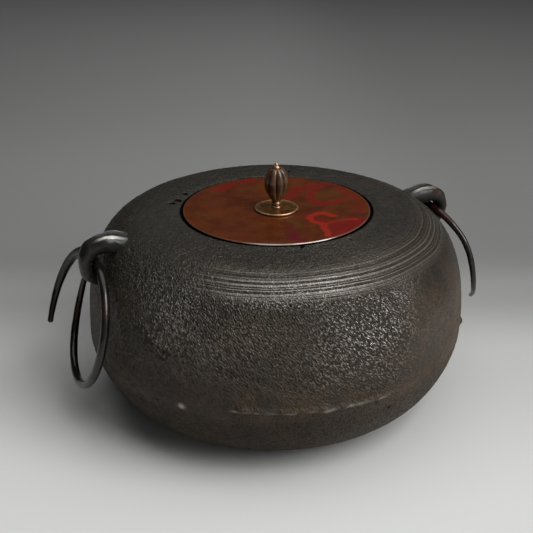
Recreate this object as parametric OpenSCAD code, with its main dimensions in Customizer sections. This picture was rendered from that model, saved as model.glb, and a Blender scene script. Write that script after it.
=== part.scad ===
// Japanese tea kettle: a cast-iron body with a bottom let in under its broken flange, two lugs with loose
// open rings, and a bronze lid with a fluted bud for a knob.
// Millimetres, +Z up, origin at the centre of the base on the table.
// The left lug is at -X, the right lug at +X.

/* [Body] */
// Radius of the wall at its widest, at the flange line
body_r = 135.5; // [125:0.5:150]
// Height of the flange line above the table
flange_z = 60; // [50:1:70]
// Height from the flange line to the top of the shoulder
shoulder_h = 79; // [72:1:95]
// How squarely the shoulder turns, as the power in its outline
shoulder_power = 8.6; // [7:0.1:10]
// How far the flat top round the mouth lies below the crest of the shoulder's curve
flat_drop = 1.4; // [0.5:0.1:4]
// Thickness of the body's iron wall
wall = 3.4; // [3:0.1:5]
// How far the edge of the broken flange stands out from the wall
flange_out = 1.2; // [0.6:0.1:3]
// Height of the broken flange's edge
flange_h = 5; // [3:0.5:8]
// Radius of the flange stubs that the break left standing
stub_r = 2.4; // [1.6:0.1:3.5]

/* [Bottom] */
// How far the bottom pan is set in from the wall
pan_inset = 1.3; // [0.4:0.1:2]
// Radius of the flat base
base_r = 75; // [60:1:90]
// How squarely the bottom turns, as the power in its outline
pan_power = 4.8; // [4:0.1:6]
// Thickness of the pan's iron
pan_t = 3.6; // [3:0.1:5]
// Thickness of the pan's rim, where it laps inside the body
pan_rim_t = 3; // [2:0.1:5]
// Height that the pan's rim laps inside the body
lap_h = 11; // [7:0.5:16]
// Thickness of the putty between the pan's rim and the body
seal_t = 1.2; // [0.6:0.1:2]
// Height of the putty bead that stands above the pan's rim
seal_bead = 1.5; // [0.8:0.1:3]

/* [Mouth and lid] */
// Radius of the lid
lid_r = 66; // [58:0.1:75]
// Thickness of the lid's plate
lid_t = 2.4; // [1.6:0.1:4]
// How far the lid's middle is dished below its edge
lid_dish = 1.5; // [0.5:0.1:3]
// How far the lid's edge stands above the flat top round the mouth
lid_rise = 0.4; // [-1:0.1:1.2]
// Gap round the lid's edge
lid_gap = 1.8; // [0.8:0.1:3]
// Width of the ledge that the lid rests on
seat_w = 7; // [4:0.5:10]
// Depth of the mouth's thick rim below that ledge
mouth_lip_h = 7; // [4:0.5:12]
// Height of the collar under the lid
collar_h = 8.5; // [5:0.5:14]
// Thickness of the collar under the lid
collar_t = 2; // [1.2:0.1:3]
// Gap between that collar and the mouth
collar_gap = 1; // [0.5:0.1:2]

/* [Knob] */
// Radius of the round plate under the knob
knob_seat_r = 15.6; // [10:0.2:20]
// Thickness of that plate
knob_seat_t = 1.6; // [1:0.1:3]
// Height of the bead between plate and bud
neck_h = 5; // [3:0.1:8]
// Radius of that bead
neck_r = 3.3; // [2.6:0.1:5]
// Height of the fluted bud
bud_h = 23.7; // [16:0.1:32]
// Radius of the bud at its widest
bud_r = 9.1; // [6:0.1:12]
// Number of lobes on the bud
bud_lobes = 8; // [6:1:10]
// Depth of the flutes between the lobes
flute_depth = 1.5; // [0.6:0.1:2]
// Height of the brass collar on the bud
cap_h = 2; // [1.2:0.1:3]
// Radius of the brass collar
cap_r = 3.1; // [2.5:0.1:4]
// Radius of the pin through the knob
pin_r = 1.2; // [1:0.1:2]
// Height of the pin's domed head
pin_head_h = 1.8; // [1.2:0.1:3]
// Radius of the clinch washer under the lid
washer_r = 6; // [5:0.1:9]
// Thickness of the clinch washer
washer_t = 1.2; // [0.8:0.1:2]
// Height of the clinched end of the pin
clinch_h = 1.3; // [0.8:0.1:2]
// Room round the pin in its holes
pin_fit = 0.05; // [0.02:0.01:0.15]

/* [Lugs] */
// How far the ring's rod hangs below the top of the shoulder, at the eye
eye_drop = 20.3; // [18:0.1:26]
// How far that rod stands out from the wall
eye_reach = 6.8; // [6.2:0.1:8]
// Depth of the groove between the two ridges on top of a lug
ridge_groove = 1.5; // [0.5:0.1:2.5]
// Radius of the upper tang that is cast into the shoulder
upper_tang_r = 2.5; // [1.5:0.1:3]
// Length of the upper tang inside the wall
upper_tang_l = 4.2; // [2:0.1:5]
// Radius of the lower tang that is cast into the wall
lower_tang_r = 1.5; // [1:0.1:1.8]
// Length of the lower tang inside the wall
lower_tang_l = 2.2; // [1:0.1:2.5]
// Room round the tangs in the wall
tang_fit = 0.05; // [0.02:0.01:0.1]

/* [Rings] */
// Radius of a ring, to the middle of its rod
ring_r = 44; // [40:0.5:48]
// Radius of the rod
rod_r = 2.8; // [2.2:0.1:3]
// Radius at the rod's tapered ends
rod_tip_r = 2; // [1.4:0.1:2.2]
// Sideways step of the open ring in one full turn
ring_step = 17.2; // [14:0.2:19]
// Turn from the eye to the free outer end, in degrees
outer_turn = 126; // [100:1:130]
// Turn from the eye round the loop to the inner end, in degrees
inner_turn = 286; // [250:1:290]
// How far the inner end is bent outward, away from the wall
inner_lift = 3.4; // [2:0.1:6]
// Length of the straight stretch of rod in the eye
eye_straight = 6; // [4:0.5:8]
// Lean of the left ring away from the wall, in degrees
left_lean = 19; // [18.5:0.5:26]
// Tilt of the left ring along the wall, in degrees
left_tilt = -7.3; // [-9:0.1:0]
// Twist of the left ring about the upright, in degrees
left_twist = -0.6; // [-3:0.1:3]
// Lean of the right ring away from the wall, in degrees
right_lean = 17.5; // [17:0.5:26]
// Tilt of the right ring along the wall, in degrees
right_tilt = 9; // [0:0.1:10]
// Twist of the right ring about the upright, in degrees
right_twist = -6.9; // [-8:0.1:2]

/* [Sounding plates] */
// Length of a plate
plate_l = 34; // [20:1:44]
// Width of a plate
plate_w = 24; // [14:1:32]
// Thickness of a plate
plate_t = 2.2; // [1.5:0.1:4]
// Distance of the plates from the middle
plate_place_r = 36; // [30:1:42]
// Thickness of the lacquer bed under a plate
bed_t = 0.8; // [0.5:0.1:1.5]
// How far the bed shows round a plate
bed_margin = 2; // [1:0.25:4]

/* [Hidden] */

// Number of iron plates stuck inside on the bottom
plate_count = 3;

round_fn = 96;
small_fn = 48;

iron_brown = "#4a443e";
iron_pan = "#4f4840";
iron_lug = "#54504c";
iron_ring = "#2e2927";
putty_black = "#221f1e";
lid_bronze = "#7a4422";
knob_bronze = "#7d5a40";
knob_brass = "#b08a62";
knob_copper = "#b2694f";

top_z = flange_z + shoulder_h;
joint_z = flange_z - flange_h / 2;
flat_z = top_z - flat_drop;
lid_z = flat_z + lid_rise;
seat_z = lid_z - lid_t;
rebate_r = lid_r + lid_gap;
mouth_r = lid_r - seat_w;
lap_r = body_r - wall;
pan_r = body_r - pan_inset;
spigot_r = lap_r - seal_t;
collar_r = mouth_r - collar_gap;

// Places up the knob
lid_mid_z = lid_z - lid_dish;
lid_under_z = lid_mid_z - lid_t;
neck_z = lid_mid_z + knob_seat_t;
bud_z = neck_z + neck_h;
cap_z = bud_z + bud_h;
head_z = cap_z + cap_h;

// The lower of two heights, with the corner between them eased
flat_ease = 2;
function eased_low(a, b) = min(a, b) - pow(max(flat_ease - abs(a - b), 0), 2) / (4 * flat_ease);

// The shoulder's outline, a rounded square in section with a flat top: radius at a height, and height at
// a radius
function shoulder_radius(z, inset = 0) =
    (body_r - inset) * pow(1 - pow((z - flange_z) / (shoulder_h - inset), 2), 1 / shoulder_power);
function shoulder_height(r, inset = 0) =
    let (rise = (shoulder_h - inset) * sqrt(1 - pow(r / (body_r - inset), shoulder_power)))
    eased_low(flange_z + rise, flat_z - inset);
function shoulder_point(angle, inset = 0) = [
    (body_r - inset) * pow(cos(angle), 2 / shoulder_power),
    eased_low(flange_z + (shoulder_h - inset) * sin(angle), flat_z - inset)
];

// The shoulder from a low height in to a small radius: by angle round the turn, then by radius across
// the flat
turn_end = 75;
turn_step = 5;
flat_steps = 8;
function shoulder_outline(low_z, end_r, inset = 0) =
    let (
        low_angle = asin((low_z - flange_z) / (shoulder_h - inset)),
        first_angle = turn_step * ceil((low_angle + 1) / turn_step),
        turn_r = shoulder_point(turn_end, inset)[0]
    )
    concat(
        [[shoulder_radius(low_z, inset), low_z]],
        [for (a = [first_angle : turn_step : turn_end]) shoulder_point(a, inset)],
        [for (i = [1 : flat_steps])
            let (r = turn_r + (end_r - turn_r) * i / flat_steps)
            [r, shoulder_height(r, inset)]]
    );

// The bottom's outline, the same kind of curve drawn downward from the joint
pan_reach = sqrt(1 - pow(base_r / pan_r, pan_power));
pan_steps = 20;
function pan_outline(low_z, inset = 0, top_share = 0) =
    [for (i = [0 : pan_steps])
        let (share = 1 - (1 - top_share) * pow(i / pan_steps, 1.6), z = joint_z - (joint_z - low_z) * share)
        [(pan_r - inset) * pow(1 - pow(pan_reach * share, 2), 1 / pan_power), z]];
function reversed(list) = [for (i = [len(list) - 1 : -1 : 0]) list[i]];

// A closed skin over a row of sections that have the same number of points, with flat ends
module skin(sections) {
    rows = len(sections);
    side = len(sections[0]);
    points = [for (section = sections) each section];
    walls = [for (i = [0 : rows - 2]) for (j = [0 : side - 1])
        let (k = (j + 1) % side)
        each [
            [i * side + j, (i + 1) * side + k, i * side + k],
            [i * side + j, (i + 1) * side + j, (i + 1) * side + k]
        ]];
    ends = [
        [for (j = [0 : side - 1]) j],
        [for (j = [side - 1 : -1 : 0]) (rows - 1) * side + j]
    ];
    polyhedron(points, concat(walls, ends), convexity = 8);
}

// A smooth curve through a list of rows, each row a list of numbers
function blend(a, b, c, d, t) =
    0.5 * (2 * b + (c - a) * t + (2 * a - 5 * b + 4 * c - d) * t * t + (3 * b - a - 3 * c + d) * t * t * t);
function smooth_rows(rows, steps) =
    let (last = len(rows) - 1)
    concat(
        [for (i = [0 : last - 1]) for (s = [0 : steps - 1])
            blend(rows[max(i - 1, 0)], rows[i], rows[i + 1], rows[min(i + 2, last)], s / steps)],
        [rows[last]]
    );

// Body

// Arcs of flange that the break left standing, as the angle round the kettle and the angle that each spans
flange_stubs = [[-121, 6], [-100, 5], [-33, 4], [38, 6], [112, 5], [171, 4]];

module shell_section() {
    lip_r = rebate_r + wall;
    flange_top = flange_z + flange_h / 2;
    lap_top = joint_z + lap_h + 2 * seal_bead;
    outside = shoulder_outline(flange_top, rebate_r + wall / 3);
    inside = shoulder_outline(lap_top, lip_r, wall);
    polygon(concat(
        [[lap_r, joint_z], [body_r + flange_out * 0.5, joint_z],
            [body_r + flange_out, flange_z - flange_h / 5],
            [body_r + flange_out, flange_z + flange_h / 10]],
        outside,
        [[rebate_r, shoulder_height(rebate_r) - wall / 4], [rebate_r, seat_z], [mouth_r, seat_z],
            [mouth_r, seat_z - mouth_lip_h], [lip_r, seat_z - mouth_lip_h]],
        reversed(inside),
        [[lap_r, lap_top]]
    ));
}

module body_shell() {
    color(iron_brown)
    difference() {
        union() {
            rotate_extrude($fn = round_fn) shell_section();
            for (stub = flange_stubs)
                rotate(stub[0] - stub[1] / 2)
                rotate_extrude(angle = stub[1], $fn = round_fn)
                translate([body_r, flange_z]) circle(stub_r, $fn = small_fn);
        }
        for (turn = [0, 180]) rotate(turn) lug_tangs(tang_fit);
    }
}

// The body's outside, down to a height well below the lugs, for what is cast onto it
module shell_outside() {
    low_z = flange_z + flange_h;
    core_r = body_r / 2;
    rotate_extrude($fn = round_fn)
    polygon(concat(
        [[core_r, low_z]],
        shoulder_outline(low_z, rebate_r),
        [[core_r, flat_z - wall]]
    ));
}

// Bottom

// The share of the pan's depth over which its inside is drawn in to the lapped rim
pan_rim_share = 0.25;

module bottom_pan() {
    floor_z = pan_t;
    rim_top = joint_z + lap_h;
    inside = pan_outline(floor_z, pan_t, pan_rim_share);
    color(iron_pan)
    rotate_extrude($fn = round_fn)
    polygon(concat(
        [[0, 0]],
        pan_outline(0),
        [[spigot_r, joint_z], [spigot_r, rim_top],
            [spigot_r - pan_rim_t, rim_top], [spigot_r - pan_rim_t, joint_z]],
        reversed(inside),
        [[0, floor_z]]
    ));
}

module joint_seal() {
    rim_top = joint_z + lap_h;
    color(putty_black)
    rotate_extrude($fn = round_fn)
    polygon([
        [spigot_r, joint_z], [lap_r, joint_z], [lap_r, rim_top + seal_bead],
        [spigot_r - seal_bead, rim_top], [spigot_r, rim_top]
    ]);
}

// Lugs

eye_z = top_z - eye_drop;
eye_x = shoulder_radius(eye_z) + eye_reach;

// The lug's strap, from its root in the shoulder over the eye and down to its tip on the wall.
// Each row: out from the eye, up from the eye, half the strap's thickness, half its width, share of the
// ridge groove
lug_rows = [
    [-25, 10.5, 3.6, 7.6, 0],
    [-20, 12.4, 4.4, 8.4, 0.6],
    [-13, 14.1, 4.8, 8.3, 1],
    [-6, 14.1, 4.8, 7.8, 1],
    [0, 11.9, 4.2, 6.9, 0.3],
    [4.9, 8.8, 4.5, 6.9, 0],
    [7.8, 3.2, 3.3, 6.7, 0],
    [7.7, -1.6, 3, 6.3, 0],
    [5.2, -7.2, 5.5, 5.2, 0],
    [1.8, -11.7, 3.3, 3.6, 0],
    [-2.2, -15.4, 1.6, 2, 0]
];
lug_steps = 3;
lug_sides = 28;
upper_tang_up = 11.7;
lower_tang_up = -12;

function rounded(value, power) = sign(value) * pow(abs(value), power);

module lug_strap() {
    rows = smooth_rows(lug_rows, lug_steps);
    last = len(rows) - 1;
    function along(i) =
        let (a = rows[max(i - 1, 0)], b = rows[min(i + 1, last)], d = [b[0] - a[0], b[1] - a[1]])
        d / norm(d);
    function strap_section(i) =
        let (row = rows[i], t = along(i))
        [for (j = [0 : lug_sides - 1])
            let (
                angle = 360 * j / lug_sides,
                across = row[3] * rounded(cos(angle), 0.85),
                dip = max(0, 1 - pow(across / (0.42 * row[3]), 2)) * row[4] * ridge_groove,
                thick = row[2] * rounded(sin(angle), 0.85) - (sin(angle) > 0 ? dip : 0)
            )
            [eye_x + row[0] - t[1] * thick, across, eye_z + row[1] + t[0] * thick]];
    skin([for (i = [0 : last]) strap_section(i)]);
}

module lug_tangs(room = 0) {
    for (tang = [[upper_tang_up, upper_tang_r, upper_tang_l], [lower_tang_up, lower_tang_r, lower_tang_l]]) {
        tang_z = eye_z + tang[0];
        wall_x = shoulder_radius(tang_z);
        into_lug = tang[1] * 1.6;
        translate([wall_x - tang[2] - room, 0, tang_z])
        rotate([0, 90, 0])
        cylinder(r = tang[1] + room, h = tang[2] + room + into_lug, $fn = small_fn);
    }
}

module lug() {
    color(iron_lug)
    union() {
        difference() {
            lug_strap();
            shell_outside();
        }
        lug_tangs();
    }
}

module left_lug() {
    rotate(180) lug();
}

module right_lug() {
    lug();
}

// Rings

ring_step_deg = 6;
ring_sides = 14;
eye_sleeve = 0.05;
taper_turn = 90;
bend_turn = 56;
blunt = 0.7;

// One open ring, at the right-hand lug: a straight stretch of rod in the eye, and the rest wound off it
// both ways
module ring(lean, tilt, twist) {
    eye = [eye_x, 0, eye_z];
    rod_dir = [sin(twist) * cos(tilt), cos(twist) * cos(tilt), sin(tilt)];
    hang = [sin(lean), 0, -cos(lean)];
    in_plane = hang - rod_dir * (hang * rod_dir);
    down = in_plane / norm(in_plane);
    out = cross(down, rod_dir);
    side_out = out[0] > 0 ? out : -out;
    function rod_radius(turn, limit) =
        let (share = max(0, (abs(turn) - (limit - taper_turn)) / taper_turn))
        rod_r - (rod_r - rod_tip_r) * share * share;
    function sideways(turn) =
        ring_step * turn / 360 - inner_lift * pow(max(0, (turn - inner_turn + bend_turn) / bend_turn), 2);
    function middle(turn) =
        eye + sign(turn) * rod_dir * eye_straight / 2
        + ring_r * (sin(turn) * rod_dir + (1 - cos(turn)) * down)
        - side_out * sideways(turn);
    function heading(turn) =
        let (d = cos(turn) * rod_dir + sin(turn) * down - side_out * ring_step / (2 * PI * ring_r))
        d / norm(d);
    function rod_section(centre, dir, r) =
        let (e = cross(dir, side_out), a = e / norm(e), b = cross(dir, a))
        [for (j = [0 : ring_sides - 1])
            let (angle = 360 * j / ring_sides)
            centre + r * (cos(angle) * a + sin(angle) * b)];
    module arm(way, limit) {
        steps = ceil(limit / ring_step_deg);
        turns = [for (i = [0 : steps]) max(limit * i / steps, 0.001) * way];
        root = rod_section(eye + way * rod_dir * (eye_straight / 2 - rod_r), way * rod_dir, rod_r);
        run = [for (turn = turns) rod_section(middle(turn), way * heading(turn), rod_radius(turn, limit))];
        end_turn = way * limit;
        tip = rod_section(
            middle(end_turn) + way * heading(end_turn) * blunt, way * heading(end_turn), rod_tip_r - blunt);
        skin(concat([root], run, [tip]));
    }
    color(iron_ring)
    union() {
        translate(eye)
        rotate([0, acos(rod_dir[2]), atan2(rod_dir[1], rod_dir[0])])
        cylinder(r = rod_r + eye_sleeve, h = eye_straight, center = true, $fn = small_fn);
        arm(-1, outer_turn);
        arm(1, inner_turn);
    }
}

module left_ring() {
    rotate(180) ring(left_lean, left_tilt, left_twist);
}

module right_ring() {
    ring(right_lean, right_tilt, right_twist);
}

// Lid

dish_steps = 8;
edge_round = lid_t / 4;

module lid_plate() {
    flat_r = knob_seat_r + edge_round;
    dish_r = mouth_r;
    under_r = collar_r - collar_t - edge_round;
    color(lid_bronze)
    rotate_extrude($fn = round_fn)
    polygon(concat(
        [[pin_r + pin_fit, lid_under_z], [flat_r, lid_under_z], [under_r, seat_z],
            [lid_r - edge_round, seat_z], [lid_r, seat_z + edge_round],
            [lid_r, lid_z - edge_round], [lid_r - edge_round, lid_z]],
        [for (i = [0 : dish_steps])
            let (r = dish_r + (flat_r - dish_r) * i / dish_steps)
            [r, lid_z - lid_dish * (1 - pow((r - flat_r) / (dish_r - flat_r), 2))]],
        [[pin_r + pin_fit, lid_mid_z]]
    ));
}

module lid_collar() {
    color(lid_bronze)
    translate([0, 0, seat_z - collar_h])
    difference() {
        cylinder(r = collar_r, h = collar_h, $fn = round_fn);
        translate([0, 0, -1]) cylinder(r = collar_r - collar_t, h = collar_h + 2, $fn = round_fn);
    }
}

// Knob

module pin_hole(z, h) {
    translate([0, 0, z - 1]) cylinder(r = pin_r + pin_fit, h = h + 2, $fn = small_fn);
}

module knob_seat() {
    rim = knob_seat_t / 2;
    color(knob_bronze)
    difference() {
        translate([0, 0, lid_mid_z]) union() {
            cylinder(r = knob_seat_r - rim, h = knob_seat_t, $fn = round_fn);
            rotate_extrude($fn = round_fn) translate([knob_seat_r - rim, rim]) circle(rim, $fn = small_fn);
        }
        pin_hole(lid_mid_z, knob_seat_t);
    }
}

module knob_neck() {
    foot_h = neck_h / 5;
    foot_r = neck_r * 1.1;
    waist_r = (neck_r + pin_r) / 2;
    color(knob_brass)
    rotate_extrude($fn = round_fn)
    translate([0, neck_z])
    difference() {
        union() {
            translate([pin_r + pin_fit, 0]) square([foot_r - pin_r - pin_fit, foot_h]);
            translate([pin_r + pin_fit, 0]) square([waist_r - pin_r - pin_fit, neck_h]);
            translate([waist_r, neck_h * 0.6]) circle(neck_r - waist_r, $fn = small_fn);
        }
        square([pin_r + pin_fit, neck_h]);
    }
}

bud_rows = 18;
lobe_points = 6;
bud_foot_r = neck_r;
bud_top_r = cap_r * 1.15;

module knob_bud() {
    side = bud_lobes * lobe_points;
    // Half a wave from the neck to the top, with its crest a little above the middle and a fuller upper half
    function swell(share) =
        let (wave = pow(share, 1.08))
        pow(sin(180 * wave), wave < 0.5 ? 0.9 : 0.55);
    function bud_section(share) = [
        for (j = [0 : side - 1])
            let (
                angle = 360 * j / side,
                flute = flute_depth * swell(share) * (1 - abs(cos(angle * bud_lobes / 2))),
                end_r = bud_foot_r + (bud_top_r - bud_foot_r) * share,
                r = end_r + (bud_r - end_r) * swell(share) - flute
            )
            [r * cos(angle), r * sin(angle), bud_z + bud_h * share]
    ];
    color(knob_bronze)
    difference() {
        skin([for (i = [0 : bud_rows]) bud_section(i / bud_rows)]);
        pin_hole(bud_z, bud_h);
    }
}

module knob_collar() {
    lip_h = cap_h / 3;
    hole_r = pin_r + pin_fit;
    color(knob_brass)
    translate([0, 0, cap_z])
    rotate_extrude($fn = small_fn)
    polygon([[hole_r, 0], [cap_r, 0], [cap_r, lip_h], [(cap_r + pin_r) / 2, cap_h], [hole_r, cap_h]]);
}

module knob_pin() {
    head_r = pin_r * 1.25;
    foot_z = lid_under_z - washer_t;
    dome_r = (head_r * head_r + pin_head_h * pin_head_h) / (2 * pin_head_h);
    color(knob_copper)
    union() {
        translate([0, 0, foot_z]) cylinder(r = pin_r, h = head_z - foot_z, $fn = small_fn);
        intersection() {
            translate([0, 0, head_z + pin_head_h - dome_r]) sphere(dome_r, $fn = small_fn);
            translate([0, 0, head_z]) cylinder(r = head_r, h = pin_head_h, $fn = small_fn);
        }
        translate([0, 0, foot_z - clinch_h])
        cylinder(r1 = pin_r, r2 = pin_r * 2, h = clinch_h, $fn = small_fn);
    }
}

module clinch_washer() {
    color(knob_copper)
    difference() {
        translate([0, 0, lid_under_z - washer_t]) cylinder(r = washer_r, h = washer_t, $fn = small_fn);
        pin_hole(lid_under_z - washer_t, washer_t);
    }
}

// Sounding plates

module at_plate(number) {
    rotate(360 * (number - 1) / plate_count) translate([plate_place_r, 0, pan_t]) children();
}

module slab(long, wide, thick) {
    translate([-wide / 2, -long / 2, 0]) cube([wide, long, thick]);
}

module sounding_plate(number) {
    color(iron_ring) at_plate(number) translate([0, 0, bed_t]) slab(plate_l, plate_w, plate_t);
}

module plate_lacquer() {
    color(putty_black)
    for (number = [1 : plate_count])
        at_plate(number) slab(plate_l + 2 * bed_margin, plate_w + 2 * bed_margin, bed_t);
}

body_shell();
bottom_pan();
joint_seal();
left_lug();
right_lug();
left_ring();
right_ring();
lid_plate();
lid_collar();
knob_seat();
knob_neck();
knob_bud();
knob_collar();
knob_pin();
clinch_washer();
sounding_plate(1);  // sounding_plate_1
sounding_plate(2);  // sounding_plate_2
sounding_plate(3);  // sounding_plate_3
plate_lacquer();
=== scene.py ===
"""The chagama kettle's looks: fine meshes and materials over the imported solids, and a small studio."""
import math

import bpy
import numpy as np
from mathutils import Matrix, Vector
from mathutils import noise as blender_noise


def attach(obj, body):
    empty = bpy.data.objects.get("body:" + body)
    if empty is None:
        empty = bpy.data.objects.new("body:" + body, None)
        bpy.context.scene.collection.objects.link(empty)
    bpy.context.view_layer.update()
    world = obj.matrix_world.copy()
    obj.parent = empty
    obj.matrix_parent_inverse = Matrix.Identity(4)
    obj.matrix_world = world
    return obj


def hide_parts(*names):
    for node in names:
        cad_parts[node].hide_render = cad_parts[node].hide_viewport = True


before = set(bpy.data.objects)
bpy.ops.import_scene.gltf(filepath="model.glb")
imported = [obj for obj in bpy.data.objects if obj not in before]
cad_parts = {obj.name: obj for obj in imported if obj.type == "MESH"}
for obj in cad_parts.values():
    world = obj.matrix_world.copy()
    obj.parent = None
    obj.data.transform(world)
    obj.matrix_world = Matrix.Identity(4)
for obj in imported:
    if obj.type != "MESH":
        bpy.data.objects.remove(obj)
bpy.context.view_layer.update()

# Sizes of the solids in millimetres: _R is a radius, _T a thickness, _H a height and _Z a level
MM = 0.001
BODY_R = 135.5
FLANGE_Z = 60.0
SHOULDER_H = 79.0
SHOULDER_POWER = 8.6
FLAT_DROP = 1.4
FLAT_EASE = 2.0
WALL = 3.4
JOINT_DROP = 2.5
LAP_H = 14.0
TOP_Z = FLANGE_Z + SHOULDER_H
FLAT_Z = TOP_Z - FLAT_DROP
JOINT_Z = FLANGE_Z - JOINT_DROP
LAP_R = BODY_R - WALL
LAP_TOP_Z = JOINT_Z + LAP_H

PAN_INSET = 1.3
PAN_R = BODY_R - PAN_INSET
PAN_BASE_R = 75.0
PAN_POWER = 4.8
PAN_T = 3.6
LAP_GAP = 1.2
SPIGOT_R = LAP_R - LAP_GAP
PAN_RIM_T = 3.0
PAN_RIM_H = 11.0

LID_R = 66.0
LID_T = 2.4
LID_PROUD = 0.4
LID_DISH = 1.5
LID_GAP = 1.8
LID_Z = FLAT_Z + LID_PROUD
LID_MID_Z = LID_Z - LID_DISH
LID_UNDER_Z = LID_MID_Z - LID_T
SEAT_Z = LID_Z - LID_T
SEAT_W = 7.0
REBATE_R = LID_R + LID_GAP
MOUTH_R = LID_R - SEAT_W
MOUTH_LIP_H = 7.0
COLLAR_GAP = 1.0
COLLAR_R = MOUTH_R - COLLAR_GAP
COLLAR_T = 2.0
COLLAR_H = 8.5

KNOB_SEAT_R = 15.6
KNOB_SEAT_T = 1.6
NECK_Z = LID_MID_Z + KNOB_SEAT_T
NECK_R = 3.3
NECK_H = 5.0
BUD_Z = NECK_Z + NECK_H
BUD_H = 23.7
BUD_R = 8.8
BUD_LOBES = 8
FLUTE_DEPTH = 1.5
CAP_Z = BUD_Z + BUD_H
CAP_R = 3.1
CAP_H = 2.0
PIN_R = 1.2
PIN_GAP = 0.05
PIN_HOLE_R = PIN_R + PIN_GAP
PIN_HEAD_Z = CAP_Z + CAP_H
PIN_HEAD_R = PIN_R * 1.25
PIN_HEAD_H = 1.8
WASHER_T = 1.2
CLINCH_H = 1.3

EYE_DROP = 20.3
EYE_Z = TOP_Z - EYE_DROP
EYE_REACH = 6.8
EYE_STRAIGHT = 6.0
RING_R = 44.0
ROD_R = 2.8
ROD_TIP_R = 2.0
RING_STEP = 17.2
INNER_TURN = 286.0
INNER_LIFT = 3.4


# Mesh helpers

def fade(values, start, end):
    """0 up to start, 1 from end on, and smooth between. start may be the larger one."""
    share = np.clip((values - start) / (end - start), 0, 1)
    return share * share * (3 - 2 * share)


def degrees_off(angles, middle):
    """How many degrees round the kettle angles are from a middle one, from -180 to 180."""
    return (np.degrees(angles) - middle + 180) % 360 - 180


def near_angle(angles, middle, width):
    """1 at an angle round the kettle, and 0 from width degrees off it."""
    return fade(np.abs(degrees_off(angles, middle)), width, 0)


def noise(points, size, seed):
    """Smooth random values from about -1 to 1 at points, with bumps about size across."""
    shifted = np.asarray(points).reshape(-1, 3) / size + np.array([17.3, -9.1, 5.7]) * seed
    values = [blender_noise.noise(place) for place in shifted.tolist()]
    return np.array(values).reshape(np.shape(points)[:-1])


def ring_angles(sides):
    return np.arange(sides) * (2 * np.pi / sides)


def turned(line, sides):
    """A line of (radius, height) rows turned about the kettle's axis."""
    angles = ring_angles(sides)
    radius, height = np.asarray(line, float).T
    x = radius[:, None] * np.cos(angles)
    y = radius[:, None] * np.sin(angles)
    z = np.repeat(height[:, None], sides, axis=1)
    return np.stack([x, y, z], -1)


def grid_faces(rows, sides, closed):
    """Quads between rows of points that each go once round. Open rows get a flat face at each end."""
    row = np.arange(rows if closed else rows - 1)[:, None]
    side = np.arange(sides)[None, :]
    after = (side + 1) % sides
    above = (row + 1) % rows
    corners = [row * sides + side, row * sides + after, above * sides + after, above * sides + side]
    faces = np.stack(corners, -1).reshape(-1, 4).tolist()
    if not closed:
        faces.append(list(range(sides - 1, -1, -1)))
        faces.append(list(range((rows - 1) * sides, rows * sides)))
    return faces


def add_object(name, data):
    """A mesh, light or camera put in the scene."""
    thing = bpy.data.objects.new(name, data)
    bpy.context.scene.collection.objects.link(thing)
    return thing


def add_piece(name, points, closed, material, body, replaced, sharp=None, values=None):
    """A smooth mesh over rows of points, in place of a CAD node and riding on its body."""
    rows, sides = points.shape[:2]
    mesh = bpy.data.meshes.new(name)
    mesh.from_pydata((points.reshape(-1, 3) * MM).tolist(), [], grid_faces(rows, sides, closed))
    mesh.polygons.foreach_set("use_smooth", [True] * len(mesh.polygons))
    if sharp:
        mesh.set_sharp_from_angle(angle=math.radians(sharp))
    for key, amount in (values or {}).items():
        if amount.ndim == 3:
            mesh.attributes.new(key, "FLOAT_VECTOR", "POINT").data.foreach_set("vector", amount.ravel() * MM)
        else:
            mesh.attributes.new(key, "FLOAT", "POINT").data.foreach_set("value", amount.ravel())
    mesh.materials.append(material)
    mesh.update()
    piece = add_object(name, mesh)
    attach(piece, body)
    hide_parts(replaced)


def unit_rows(vectors):
    """Rows of vectors, each made one long."""
    return vectors / np.linalg.norm(vectors, axis=-1, keepdims=True)


def rounded_line(corners, radius, steps=4):
    """A closed line of (radius, height) corners with each corner rounded."""
    corners = [np.array(corner, float) for corner in corners]
    line = []
    for before, here, after in zip(corners[-1:] + corners[:-1], corners, corners[1:] + corners[:1]):
        reach = min(radius, np.linalg.norm(before - here) / 2.1, np.linalg.norm(after - here) / 2.1)
        start = here + unit_rows(before - here) * reach
        end = here + unit_rows(after - here) * reach
        for share in np.linspace(0, 1, steps + 1):
            line.append((1 - share) ** 2 * start + 2 * share * (1 - share) * here + share ** 2 * end)
    return np.array(line)


def line_lengths(line):
    """How far each row of a line is along it."""
    return np.concatenate([[0], np.cumsum(np.linalg.norm(np.diff(line, axis=0), axis=1))])


def spaced_rows(line, spacing):
    """The same line with its rows as far apart as spacing says at each point."""
    steps = np.diff(line_lengths(line))
    count = np.concatenate([[0], np.cumsum(2 * steps / (spacing[1:] + spacing[:-1]))])
    places = np.linspace(0, count[-1], int(count[-1]) + 1)
    return np.stack([np.interp(places, count, line[:, k]) for k in (0, 1)], -1)


def smooth_rows(rows, steps):
    """A smooth curve through rows of numbers."""
    rows = np.asarray(rows, float)
    last = len(rows) - 1
    curve = []
    for i in range(last):
        a, b, c, d = rows[max(i - 1, 0)], rows[i], rows[i + 1], rows[min(i + 2, last)]
        for t in np.arange(steps) / steps:
            bend = (2 * a - 5 * b + 4 * c - d) * t ** 2 + (3 * b - a - 3 * c + d) * t ** 3
            curve.append(0.5 * (2 * b + (c - a) * t + bend))
    return np.array(curve + [rows[last]])


def line_normals(line):
    """The outward direction at each row of a line that climbs on its outer side."""
    along = np.gradient(line, axis=0)
    return unit_rows(np.stack([along[:, 1], -along[:, 0]], -1))


def pushed(points, line, amount):
    """Turned points moved along the line's outward direction."""
    normals = turned(line_normals(line), points.shape[1])
    return points + normals * amount[..., None]


# Material helpers

def colour(red, green, blue):
    return (red, green, blue, 1.0)


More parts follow.
